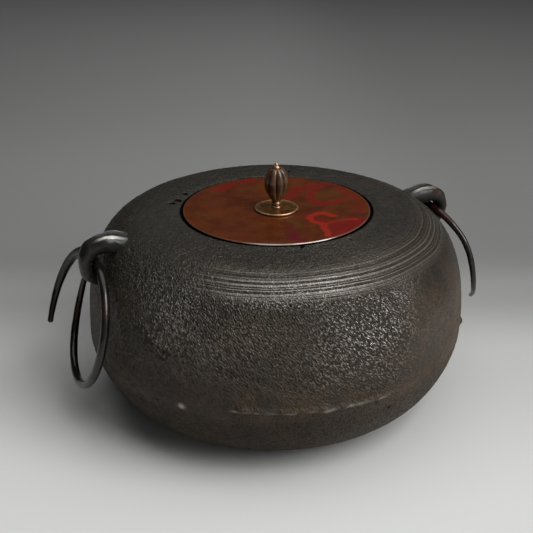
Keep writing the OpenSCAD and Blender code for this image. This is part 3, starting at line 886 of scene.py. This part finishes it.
def add_body(material):
    line = body_line()
    skin = Skin(line, BODY_SIDES)
    threads = thread_share(skin)
    grain = grain_share(skin, threads)
    rim = fade(skin.radius, REBATE_R + RIM_SOFT, REBATE_R + 7)
    pits = pit_relief(skin)
    relief = thread_relief(skin) + grain_relief(skin, grain) + streak_relief(skin)
    relief = relief * (0.35 + 0.65 * rim) + pits
    broken = flange_relief(skin)
    uneven = wall_unevenness(skin) + sway(skin)
    dressed = pushed(skin.points, line, relief + broken + uneven * rim)
    dressed[..., 2] += edge_drop(skin)
    inside = turned(body_inside_line(), BODY_SIDES)
    nicked = 0.3 * noise(inside[:2], 5, 22) + 0.2 * noise(inside[:2], 2.2, 23)
    inside[:2, :, 2] += nicked - 0.25
    stored = {
        # The inside gets a low relief so that it is painted black as shade
        "relief": (pits + 0.35 * relief + 0.3 * broken, -0.6),
        "rust": (rust_share(skin), 0.1),
        "grain": (grain, 0.3),
        "threads": (threads, 0),
        "bare_glint": (bare_glint_share(skin), 0),
        "rubbed_sheen": (rubbed_sheen_share(skin), 0),
        "chips_and_glint_line": (chip_and_glint_share(skin.points), 0),
        "low": (low_shade_share(skin), 0),
        "along": (line_lengths(line)[:, None], 0),
    }
    values = with_inside(stored, skin, inside)
    values["skin"] = skin_places(np.concatenate([skin.points, inside]), skin.angles)
    add_piece("kettle_body", np.concatenate([dressed, inside]), True, material, "kettle",
              "body_shell", sharp=65, values=values)


# Bottom

PAN_SIDES = 540
PAN_ROW = 1.4
# How near the axis the rows of a flat face end
AXIS_R = 0.5


def pan_line(low_z, inset, share_top, count):
    """The bottom's outline, climbing from a height to the joint."""
    reach = math.sqrt(1 - (PAN_BASE_R / PAN_R) ** PAN_POWER)
    share = np.linspace(1, share_top, count)
    radius = (PAN_R - inset) * (1 - (reach * share) ** 2) ** (1 / PAN_POWER)
    return np.stack([radius, JOINT_Z - (JOINT_Z - low_z) * share], -1)


def pan_inside_line():
    """The spigot that goes up into the body, and the inside down to the middle of the floor."""
    inner_r = SPIGOT_R - PAN_RIM_T
    top_z = JOINT_Z + PAN_RIM_H
    rim = [(SPIGOT_R, JOINT_Z), (SPIGOT_R, top_z), (inner_r, top_z), (inner_r, JOINT_Z)]
    inside = pan_line(PAN_T, PAN_T, 0.25, 14)[::-1]
    return np.concatenate([rim, inside, [(30, PAN_T), (AXIS_R, PAN_T)]])


def add_pan(material):
    dense = pan_line(0, 0, 0, 3000)
    rows = spaced_rows(dense, np.full(len(dense), PAN_ROW))
    line = np.concatenate([[(AXIS_R, 0), (30, 0), (66, 0)], rows])
    skin = Skin(line, PAN_SIDES)
    lift = skin.climb(1.5, 9)
    pits = -1.1 * np.maximum(0, skin.noise(2.5, 30) - 0.24)
    bumps = 0.13 * skin.noise(2.4, 31) + 0.10 * skin.noise(6, 32)
    relief = (pits + bumps) * lift
    flush = skin.climb(34, 56) * (1.40 - 1.5 * skin.near(FLANGE_ANGLE, 36) + 0.1 * skin.noise(24, 35))
    dressed = pushed(skin.points, line, relief + (wall_unevenness(skin) + flush + sway(skin)) * lift)
    inside = turned(pan_inside_line(), PAN_SIDES)
    points = np.concatenate([dressed, inside])
    stored = {
        "relief": (relief, -0.3),
        "rust": (rust_share(skin), 0.3),
        "grain": (0.42 + 0.33 * skin.climb(JOINT_Z, 47), 0.6),
        "threads": (0, 0),
        "bare_glint": (0, 0),
        "rubbed_sheen": (rubbed_sheen_share(skin), 0),
        "low": (low_shade_share(skin), 1),
        "along": (0, 0),
    }
    values = with_inside(stored, skin, inside)
    values["chips_and_glint_line"] = chip_and_glint_share(points)
    values["skin"] = points
    add_piece("kettle_bottom", points, False, material, "kettle", "bottom_pan", sharp=65,
              values=values)


# Lugs

# The strap from its root over the eye to its tip on the wall: out from the eye, up from the eye, half its
# thickness, half its width, and share of the groove between its two ridges
LUG_ROWS = (
    (-31, 9.6, 3.4, 5.0, 0), (-25, 10.8, 3.9, 6.8, 0.2), (-19, 11.6, 5.4, 8.1, 0.8), (-13, 12.0, 7.0, 8.4, 1),
    (-6, 12.5, 6.5, 8.0, 1), (0, 10.9, 5.6, 7.2, 0.3), (4.2, 8.0, 5.3, 7.1, 0), (6.9, 3.0, 4.2, 6.9, 0),
    (6.9, -1.8, 4.0, 6.5, 0), (4.6, -7.4, 5.4, 5.5, 0), (1.4, -11.9, 3.9, 4.0, 0), (-2.2, -15.6, 1.8, 2.2, 0),
)
# How far the near side of the left lug's root is rolled down, as a slope
LEFT_LUG_ROLL = 0.16
LUG_STEPS = 10
LUG_SIDES = 64
LUG_GROOVE = 1.7
LUG_SINK = 1.6
# How square the strap is across: 1 is an ellipse, and less is squarer
LUG_POWER = 0.85
EYE_SHARE = (EYE_Z - FLANGE_Z) / SHOULDER_H
EYE_X = BODY_R * (1 - EYE_SHARE ** 2) ** (1 / SHOULDER_POWER) + EYE_REACH


def squared(wave):
    """A sine or cosine with its ends broadened."""
    return np.sign(wave) * np.abs(wave) ** LUG_POWER


def kept_outside(points, depth):
    """Points that would reach deeper into the body's wall than depth, moved out to that depth."""
    line = shoulder_line(0, 70, 80)[::6]
    normals = line_normals(line)
    radius = np.hypot(points[..., 0], points[..., 1])
    flat = np.stack([radius, points[..., 2]], -1)
    nearest = np.linalg.norm(flat[..., None, :] - line, axis=-1).argmin(-1)
    above = np.sum((flat - line[nearest]) * normals[nearest], -1)
    moved = flat + np.maximum(0, -depth - above)[..., None] * normals[nearest]
    scale = moved[..., 0] / np.maximum(radius, 1e-6)
    return np.stack([points[..., 0] * scale, points[..., 1] * scale, moved[..., 1]], -1)


def lug_points(turn):
    """A lug's strap, with its root and tip sunk into the wall. turn is 1 on the right and -1 on the left."""
    rows = smooth_rows(LUG_ROWS, LUG_STEPS)
    out, up, half_thick, half_wide, groove = (rows[:, k:k + 1] for k in range(5))
    along = unit_rows(np.gradient(rows[:, :2], axis=0))
    angles = -ring_angles(LUG_SIDES)
    across = squared(np.cos(angles)) * half_wide
    dip = np.maximum(0, 1 - (across / (0.42 * half_wide)) ** 2) * groove * LUG_GROOVE
    thick = squared(np.sin(angles)) * half_thick - np.where(np.sin(angles) > 0, dip, 0)
    roll = LEFT_LUG_ROLL * fade(out, -6, -20) if turn < 0 else 0.0
    x = EYE_X + out - along[:, 1:] * thick
    z = EYE_Z + up + along[:, :1] * thick - roll * across
    points = np.stack([x, across, z], -1)
    outward = unit_rows(points - points.mean(1, keepdims=True))
    dents = 0.42 * noise(points, 8, 50 + turn) + 0.20 * noise(points, 3.2, 51 + turn)
    points = kept_outside(points + outward * dents[..., None], LUG_SINK)
    return points * np.array([turn, turn, 1])


def add_lug(name, turn, material):
    points = lug_points(turn)
    reach = np.hypot(points[..., 0], points[..., 1]) - EYE_X
    upper = -np.sin(ring_angles(LUG_SIDES))
    beside = np.abs(np.cos(ring_angles(LUG_SIDES)))
    # Painted highlight along both ridges of the strap, partly wear, placed where the ridges face the light
    # and the camera
    ridge = fade(upper, 0.35, 0.65) * fade(beside, 0.28, 0.42) * fade(beside, 0.74, 0.60)
    uneven = np.clip(0.75 + 0.9 * noise(points, 7, 55), 0, 1)
    values = {
        "worn_highlight": ridge * uneven * fade(reach, -23, -15) * fade(reach, 1, -5),
        "root": fade(reach + 2 * noise(points, 6, 53), -13, -23),
        # Painted shade under the strap near the eye, where the gap to the wall lies in shadow
        "painted_shade": fade(upper, 0.45, -0.35) * fade(reach, -26, -18),
    }
    add_piece(name + "_casting", points, False, material, "kettle", name, sharp=60, values=values)


# Rings

RING_SIDES = 28
RING_STEP_DEG = 2.0
TAPER_TURN = 90.0
BEND_TURN = 56.0
TIP_ROWS = 5
# How each ring hangs, in degrees, and how far its short outer arm winds, is tucked in and is slimmer
RINGS = {
    "left_ring": {"turn": -1, "lean": 19, "tilt": -7.3, "twist": -0.6, "outer_turn": 130, "tuck": 0,
                  "slim": -0.20, "seed": 70},
    "right_ring": {"turn": 1, "lean": 17.5, "tilt": 9, "twist": -6.9, "outer_turn": 126, "tuck": 4.6,
                   "slim": 0.16, "seed": 75},
}


def hanging_axes(lean, tilt, twist):
    """The way of the rod in the eye, the way that the ring hangs, and the way out of the ring's face."""
    lean, tilt, twist = (math.radians(angle) for angle in (lean, tilt, twist))
    rod = np.array([math.sin(twist) * math.cos(tilt), math.cos(twist) * math.cos(tilt), math.sin(tilt)])
    hang = np.array([math.sin(lean), 0, -math.cos(lean)])
    down = unit_rows(hang - rod * (hang @ rod))
    side = np.cross(down, rod)
    return rod, down, side if side[0] > 0 else -side


def ring_points(lean, tilt, twist, outer_turn, tuck, slim, seed):
    """An open ring at the right-hand eye: straight in the eye, with the rest wound off it both ways."""
    rod, down, side = hanging_axes(lean, tilt, twist)
    outer = np.arange(-outer_turn, 0.1, RING_STEP_DEG)
    inner = np.arange(0, INNER_TURN + 0.1, RING_STEP_DEG)
    turns = np.concatenate([outer, inner])
    ways = np.concatenate([np.full(len(outer), -1.0), np.full(len(inner), 1.0)])[:, None]
    bend = np.maximum(0, (turns - INNER_TURN + BEND_TURN) / BEND_TURN) ** 2
    sideways = RING_STEP * turns / 360 - INNER_LIFT * bend
    sideways += tuck * (fade(-turns, 40, 95) - 0.45 * fade(-turns, 98, 126))
    angle = np.radians(turns)[:, None]
    loop = RING_R * (np.sin(angle) * rod + (1 - np.cos(angle)) * down)
    eye = np.array([EYE_X, 0, EYE_Z])
    middle = eye + ways * rod * EYE_STRAIGHT / 2 + loop - side * sideways[:, None]

    limit = np.where(turns < 0, outer_turn, INNER_TURN)
    taper = np.maximum(0, (np.abs(turns) - (limit - TAPER_TURN)) / TAPER_TURN) ** 2
    toward_tip = fade(outer_turn + turns, 0, 70) if slim < 0 else 1.0
    radius = (ROD_R - (ROD_R - ROD_TIP_R) * taper) * (1 - slim * fade(-turns, 6, 40) * toward_tip)
    heading = unit_rows(np.gradient(middle, axis=0))
    first = unit_rows(np.cross(heading, side))
    second = np.cross(heading, first)
    angles = ring_angles(RING_SIDES)[:, None]
    rim = first[:, None, :] * np.cos(angles) + second[:, None, :] * np.sin(angles)
    places = middle[:, None, :] + rim * 2
    dents = 0.16 * noise(places, 7, seed) + 0.07 * noise(places, 3, seed + 1)
    flats = 0.10 * np.cos(4 * angles[:, 0]) * noise(middle, 30, seed + 2)[:, None]
    far_from_eye = fade(np.abs(turns), 8, 40)[:, None]
    points = middle[:, None, :] + rim * (radius[:, None] + (dents + flats) * far_from_eye)[..., None]
    return rounded_ends(points, middle, heading)


def rounded_ends(points, middle, heading):
    """A rod's rows of points with a blunt round tip added at both ends."""
    tips = []
    for row, way in ((0, -1), (-1, 1)):
        for angle in np.linspace(0, math.pi / 2, TIP_ROWS + 1)[1:]:
            narrow = max(math.cos(angle), 0.08)
            shift = heading[row] * way * ROD_TIP_R * 0.8 * math.sin(angle)
            tips.append(middle[row] + shift + (points[row] - middle[row]) * narrow)
    start, end = tips[:TIP_ROWS][::-1], tips[TIP_ROWS:]
    return np.concatenate([np.array(start), points, np.array(end)])


def add_ring(name, material, turn, **shape):
    points = ring_points(**shape) * np.array([turn, turn, 1])
    add_piece(name + "_forged", points, False, material, name, name)


# Lid

LID_SIDES = 420
LID_ROWS = 64
EDGE_R = 0.55
# The lid is flat under the knob and a little past its seat
LID_FLAT_R = KNOB_SEAT_R + 0.6
# The middle of the stretch where the lid's edge carries a painted highlight, partly bare wear, in degrees
# round the kettle
BRIGHT_EDGE_ANGLE = 256.0


def lid_top_z(radius):
    """The lid's upper face: flat under the knob, rising in a shallow dish to a flat rim."""
    share = np.clip((radius - LID_FLAT_R) / (MOUTH_R - LID_FLAT_R), 0, 1)
    return LID_Z - LID_DISH * (1 - share ** 2)


def add_lid(material):
    turn = np.linspace(0, math.pi / 2, 6)
    edge_in, edge_out = EDGE_R * np.cos(turn), EDGE_R * np.sin(turn)
    lower = np.stack([LID_R - EDGE_R + edge_out, SEAT_Z + EDGE_R - edge_in], -1)
    upper = np.stack([LID_R - EDGE_R + edge_in, LID_Z - EDGE_R + edge_out], -1)
    under_r = COLLAR_R - COLLAR_T - 0.6
    under = [(PIN_HOLE_R, LID_UNDER_Z), (8, LID_UNDER_Z), (LID_FLAT_R, LID_UNDER_Z), (under_r, SEAT_Z)]
    shade = [(LID_R, LID_Z - 1.05), (LID_R, LID_Z - 0.75)]
    radii = np.linspace(LID_R - 1.4, PIN_HOLE_R, LID_ROWS)
    top = np.stack([radii, lid_top_z(radii)], -1)
    line = np.concatenate([under, lower, shade, upper, top])
    points = turned(line, LID_SIDES)

    below = np.zeros(len(under) + len(lower) + len(shade))
    on_top = np.concatenate([below, fade(upper[:, 0], LID_R, LID_R - EDGE_R), np.ones(len(top))])
    # Painted highlight along the upper edge, partly bare wear, strongest at the front
    edge = np.concatenate([below, np.linspace(1, 0.2, len(upper)), np.zeros(len(top))])
    # Painted shade on the underside and lower side of the edge, in the gap round the lid
    painted_shade = np.concatenate([np.zeros(len(under)), np.ones(len(lower)), [1.0, 0.8],
                             np.zeros(len(upper) + len(top))])
    front = fade(np.abs(degrees_off(ring_angles(LID_SIDES), BRIGHT_EDGE_ANGLE)), 30, 18)
    worn_highlight = np.clip(0.95 + 0.6 * noise(points, 12, 62), 0, 1) * (0.08 + 0.92 * front)
    values = {"edge": edge[:, None] * worn_highlight, "painted_shade": np.broadcast_to(painted_shade[:, None], worn_highlight.shape)}
    for key, _, seed, strokes in PATINA:
        values[key] = stroke_shares(points, strokes, seed) * on_top[:, None]
    clear = on_top * fade(line[:, 0], KNOB_SEAT_R + 1, KNOB_SEAT_R + 8)
    points[..., 2] += clear[:, None] * (0.10 * noise(points, 26, 60) + 0.03 * noise(points, 8, 61))
    add_piece("lid_disc", points, True, material, "lid", "lid_plate", sharp=50, values=values)


def add_lid_collar(material):
    low_z = SEAT_Z - COLLAR_H
    inner_r = COLLAR_R - COLLAR_T
    corners = [(inner_r, low_z), (COLLAR_R, low_z), (COLLAR_R, SEAT_Z), (inner_r, SEAT_Z)]
    points = turned(rounded_line(corners, 0.5), LID_SIDES)
    add_piece("lid_rim_band", points, True, material, "lid", "lid_collar")


# Knob

KNOB_SIDES = 96
COLLAR_SIDES = 64
PIN_SIDES = 48
LOBE_SIDES = 20
BUD_ROWS = 60
# The seat plate's upper face: radius, and how far below the top of its rim
SEAT_FACE = ((14.2, 0.06), (13.6, 0.28), (12, 0.32), (7, 0.18), (5, 0.02), (4.4, 0), (PIN_HOLE_R, 0))


def add_knob_seat(material):
    round_r = KNOB_SEAT_T / 2
    turn = np.linspace(-math.pi / 2, math.pi / 2, 12)
    rim_r = KNOB_SEAT_R - round_r + round_r * np.cos(turn)
    rim = np.stack([rim_r, LID_MID_Z + round_r + round_r * np.sin(turn)], -1)
    face = [(radius, LID_MID_Z + KNOB_SEAT_T - drop) for radius, drop in SEAT_FACE]
    line = np.concatenate([[(PIN_HOLE_R, LID_MID_Z)], rim, face])
    points = turned(line, KNOB_SIDES * 2)
    # The seat's rim is painted pale, partly wear and partly a painted highlight on its rounded edge
    on_rim = fade(line[:, 0], 14.0, 14.6) * fade(line[:, 1], LID_MID_Z + 0.5, LID_MID_Z + 1.1)
    rubbed_sheen = on_rim[:, None] * np.clip(0.6 + 0.8 * noise(points, 6, 63), 0.1, 1)
    add_piece("knob_seat_plate", points, True, material, "lid", "knob_seat", sharp=60,
              values={"rubbed_sheen": rubbed_sheen})


def add_knob_neck(material):
    foot_r = NECK_R * 1.1
    waist_r = (NECK_R + PIN_R) / 2
    turn = np.linspace(-0.45 * math.pi, 0.45 * math.pi, 12)
    bead = np.stack([waist_r + (NECK_R - waist_r) * np.cos(turn), NECK_Z + 3.0 + 1.3 * np.sin(turn)], -1)
    foot = [(PIN_HOLE_R, NECK_Z), (foot_r - 0.1, NECK_Z), (foot_r, NECK_Z + 0.3),
            (foot_r - 0.2, NECK_Z + 0.8), (waist_r + 0.2, NECK_Z + 1.2)]
    head = [(waist_r + 0.1, NECK_Z + 4.5), (waist_r + 0.4, NECK_Z + NECK_H), (PIN_HOLE_R, NECK_Z + NECK_H)]
    points = turned(np.concatenate([foot, bead, head]), KNOB_SIDES)
    add_piece("knob_neck_bead", points, True, material, "lid", "knob_neck", sharp=60)


def add_knob_bud(material):
    share = 1 - np.linspace(1, 0, BUD_ROWS)[:, None] ** 1.3
    wave = share ** 1.08
    swell = np.sin(np.pi * np.minimum(wave, 1)) ** np.where(wave < 0.5, 0.9, 0.55)
    angles = ring_angles(BUD_LOBES * LOBE_SIDES)[None, :]
    lobe = 1 - np.abs(np.cos(angles * BUD_LOBES / 2)) ** 0.8
    end_r = NECK_R + (CAP_R * 1.15 - NECK_R) * share
    radius = end_r + (BUD_R - end_r) * swell - FLUTE_DEPTH * 1.15 * swell * lobe
    height = np.broadcast_to(BUD_Z + BUD_H * share, radius.shape)
    outside = np.stack([radius * np.cos(angles), radius * np.sin(angles), height], -1)
    hole = turned([(PIN_HOLE_R, BUD_Z + BUD_H), (PIN_HOLE_R, BUD_Z)], outside.shape[1])
    # Painted shade share: how deep in a flute each point is
    flute_shade = np.concatenate([swell * lobe, np.zeros((2, outside.shape[1]))])
    add_piece("knob_bud_fluted", np.concatenate([outside, hole]), True, material, "lid",
              "knob_bud", sharp=75, values={"flute_shade": flute_shade})


def add_knob_collar(material):
    top_z = CAP_Z + CAP_H
    corners = [(PIN_HOLE_R, CAP_Z), (CAP_R, CAP_Z), (CAP_R, CAP_Z + CAP_H / 3), ((CAP_R + PIN_R) / 2, top_z),
               (PIN_HOLE_R, top_z)]
    points = turned(rounded_line(corners, 0.3), COLLAR_SIDES)
    add_piece("knob_top_collar", points, True, material, "lid", "knob_collar", sharp=60)


def add_knob_pin(material):
    foot_z = LID_UNDER_Z - WASHER_T
    turn = np.linspace(0.02, math.pi / 2, 10)[::-1]
    dome_z = PIN_HEAD_Z + 0.2 + (PIN_HEAD_H - 0.2) * np.cos(turn)
    dome = np.stack([PIN_HEAD_R * np.sin(turn), dome_z], -1)
    clinch = [(0.3, foot_z - CLINCH_H), (PIN_R, foot_z - CLINCH_H), (PIN_R * 2, foot_z), (PIN_R, foot_z)]
    shank = [(PIN_R, PIN_HEAD_Z), (PIN_HEAD_R, PIN_HEAD_Z)]
    points = turned(np.concatenate([clinch, shank, dome]), PIN_SIDES)
    add_piece("knob_pin_copper", points, False, material, "lid", "knob_pin", sharp=60)


# Floor, lights and camera

IMAGE_SIDE = 533
FOCAL_PIXELS = 800.0
SENSOR = 36.0
CAMERA_PLACE = (-205.9, -488.3, 343.6)
CAMERA_HEADING = -22.077
CAMERA_DOWN = 25.469
CAMERA_ROLL = -0.344
FLOOR_HALF = 6.0
# Floor colour along the view, a painted falloff of light that is darkest just behind the kettle: metres from
# the kettle's middle away from the camera, and how pale it is
FLOOR_TONES = (
    (-0.45, 0.68), (-0.16, 0.67), (0.02, 0.54), (0.13, 0.325), (0.22, 0.235), (0.60, 0.262), (2.2, 0.47),
)
# How pale the floor is on the right, beside the rest: painted shade that darkens the floor on the side of the
# lights
FLOOR_RIGHT = 0.78
# How pale the studio is behind the kettle and where it is palest, and how far round to the right that is
WORLD_BACK = 0.03
WORLD_FRONT = 0.26
WORLD_TURN = 48.0
# Lights: name, angle round the kettle, angle above the floor, distance, size in metres, and watts
LIGHTS = (
    ("overhead", 30, 80, 1.2, (1.5, 1.5), 9.4),
    ("right_side", -57, 46, 1.4, (0.9, 1.0), 17.3),
    ("right_low", -57, 15, 1.5, (0.4, 0.8), 2.3),
)
LIGHTS_AIM = Vector((0, 0, 0.09))


def add_camera():
    data = bpy.data.cameras.new("camera")
    data.sensor_width = SENSOR
    data.lens = SENSOR * FOCAL_PIXELS / IMAGE_SIDE
    data.clip_start = 0.02
    camera = add_object("camera", data)
    turn = Matrix.Rotation(math.radians(CAMERA_HEADING), 4, "Z")
    look = Matrix.Rotation(math.radians(90 - CAMERA_DOWN), 4, "X")
    roll = Matrix.Rotation(math.radians(CAMERA_ROLL), 4, "Z")
    camera.matrix_world = Matrix.Translation([v * MM for v in CAMERA_PLACE]) @ turn @ look @ roll
    bpy.context.scene.camera = camera


def floor_paint():
    """Paper whose tone changes along the view and to the right: a painted falloff of light, and painted shade
    on the right.
    """
    paint = Paint("floor_paper", {"Roughness": 0.85, "Specular IOR Level": 0.2})
    heading = math.radians(CAMERA_HEADING)
    near, far = FLOOR_TONES[0][0], FLOOR_TONES[-1][0]
    away = paint.along((-math.sin(heading), math.cos(heading), 0))
    share = paint.add("ShaderNodeMapRange", None, {"Value": away, "From Min": near, "From Max": far})
    ramp = paint.add("ShaderNodeValToRGB", None, {"Fac": share.outputs["Result"]})
    ramp.color_ramp.interpolation = "EASE"
    stops = ramp.color_ramp.elements
    for place, _ in FLOOR_TONES[1:-1]:
        stops.new((place - near) / (far - near))
    for stop, (place, tone) in zip(stops, FLOOR_TONES):
        stop.position = (place - near) / (far - near)
        stop.color = colour(tone, tone, tone * 0.985)
    side = paint.along((math.cos(heading), math.sin(heading), 0))
    shade = {0: ramp.outputs["Color"], "Scale": paint.spread(side, -0.05, 0.30, 1.0, FLOOR_RIGHT)}
    paint.base = paint.add("ShaderNodeVectorMath", {"operation": "SCALE"}, shade).outputs["Vector"]
    return paint.done()


def add_floor():
    mesh = bpy.data.meshes.new("floor")
    corners = [(FLOOR_HALF * x, FLOOR_HALF * y, 0) for x, y in ((-1, -1), (1, -1), (1, 1), (-1, 1))]
    mesh.from_pydata(corners, [], [(0, 1, 2, 3)])
    mesh.materials.append(floor_paint())
    add_object("floor", mesh)


def add_light(name, angle, height_angle, distance, size, watts):
    """A soft light at an angle round the kettle and an angle above the floor, facing the kettle."""
    data = bpy.data.lights.new(name, "AREA")
    data.shape = "RECTANGLE"
    data.size, data.size_y = size
    data.energy = watts
    light = add_object(name, data)
    angle, height_angle = math.radians(angle), math.radians(height_angle)
    level = math.cos(height_angle)
    way = Vector((level * math.cos(angle), level * math.sin(angle), math.sin(height_angle)))
    light.location = LIGHTS_AIM + way * distance
    light.rotation_euler = way.to_track_quat("Z", "Y").to_euler()


def set_world():
    """A studio that is pale behind the camera and dark behind the kettle."""
    world = bpy.data.worlds.new("studio")
    world.use_nodes = True
    tree = world.node_tree
    heading = math.radians(CAMERA_HEADING + WORLD_TURN)
    place = tree.nodes.new("ShaderNodeTexCoord")
    toward = tree.nodes.new("ShaderNodeVectorMath")
    toward.operation = "DOT_PRODUCT"
    toward.inputs[1].default_value = (math.sin(heading), -math.cos(heading), 0)
    share = tree.nodes.new("ShaderNodeMapRange")
    share.interpolation_type = "SMOOTHSTEP"
    limits = {"From Min": 0.0, "From Max": 0.95, "To Min": WORLD_BACK, "To Max": WORLD_FRONT}
    for socket, value in limits.items():
        share.inputs[socket].default_value = value
    back = tree.nodes["Background"]
    back.inputs["Color"].default_value = colour(0.97, 0.98, 1.0)
    tree.links.new(place.outputs["Generated"], toward.inputs[0])
    tree.links.new(toward.outputs["Value"], share.inputs["Value"])
    tree.links.new(share.outputs["Result"], back.inputs["Strength"])
    bpy.context.scene.world = world


bpy.context.scene.view_settings.view_transform = "Standard"
add_camera()
add_floor()
set_world()
for light in LIGHTS:
    add_light(*light)

lug_iron = iron_paint("lug_iron", colour(0.009, 0.0085, 0.008), colour(0.020, 0.018, 0.016),
                      colour(0.050, 0.030, 0.018), 0.40, 0.26, 0.11, 1.36)
ring_iron = iron_paint("ring_iron", colour(0.003, 0.0026, 0.0023), colour(0.009, 0.007, 0.006),
                       colour(0.045, 0.011, 0.008), 0.55, 0.19, 0.05, 1.46)
rusty_iron = iron_paint("rusty_iron", colour(0.020, 0.017, 0.014), colour(0.045, 0.034, 0.025),
                        colour(0.10, 0.045, 0.02), 0.8, 0.62, 0.08, 1.7)
putty = iron_paint("putty", colour(0.012, 0.011, 0.010), colour(0.028, 0.024, 0.020),
                   colour(0.045, 0.028, 0.018), 0.4, 0.6, 0.06, 1.5)
lid_bronze = lid_paint()
seat_bronze = bronze_paint("seat_bronze", colour(0.185, 0.076, 0.020), colour(0.285, 0.125, 0.034), 0.33,
                           colour(0.050, 0.024, 0.010), 0.6)
knob_brass = bronze_paint("knob_brass", colour(0.26, 0.15, 0.080), colour(0.42, 0.26, 0.150), 0.30,
                          colour(0.14, 0.075, 0.04), 0.5)
knob_copper = bronze_paint("knob_copper", colour(0.42, 0.20, 0.14), colour(0.68, 0.38, 0.29), 0.30,
                           colour(0.24, 0.11, 0.07), 0.4)

add_body(cast_paint("body_iron", 0.23))
add_pan(cast_paint("pan_iron", 0.25))
add_lug("left_lug", -1, lug_iron)
add_lug("right_lug", 1, lug_iron)
for name, shape in RINGS.items():
    add_ring(name, ring_iron, **shape)
add_lid(lid_bronze)
add_lid_collar(lid_bronze)
add_knob_seat(seat_bronze)
add_knob_neck(knob_brass)
add_knob_bud(bud_paint())
add_knob_collar(knob_brass)
add_knob_pin(knob_copper)

# Solids that keep their own shape and get a better material
DRESSED_NODES = {
    putty: ("joint_seal", "plate_lacquer"),
    knob_copper: ("clinch_washer",),
    rusty_iron: ("sounding_plate_1", "sounding_plate_2", "sounding_plate_3"),
}
for material, names in DRESSED_NODES.items():
    for name in names:
        node_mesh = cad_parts[name].data
        node_mesh.materials.clear()
        node_mesh.materials.append(material)
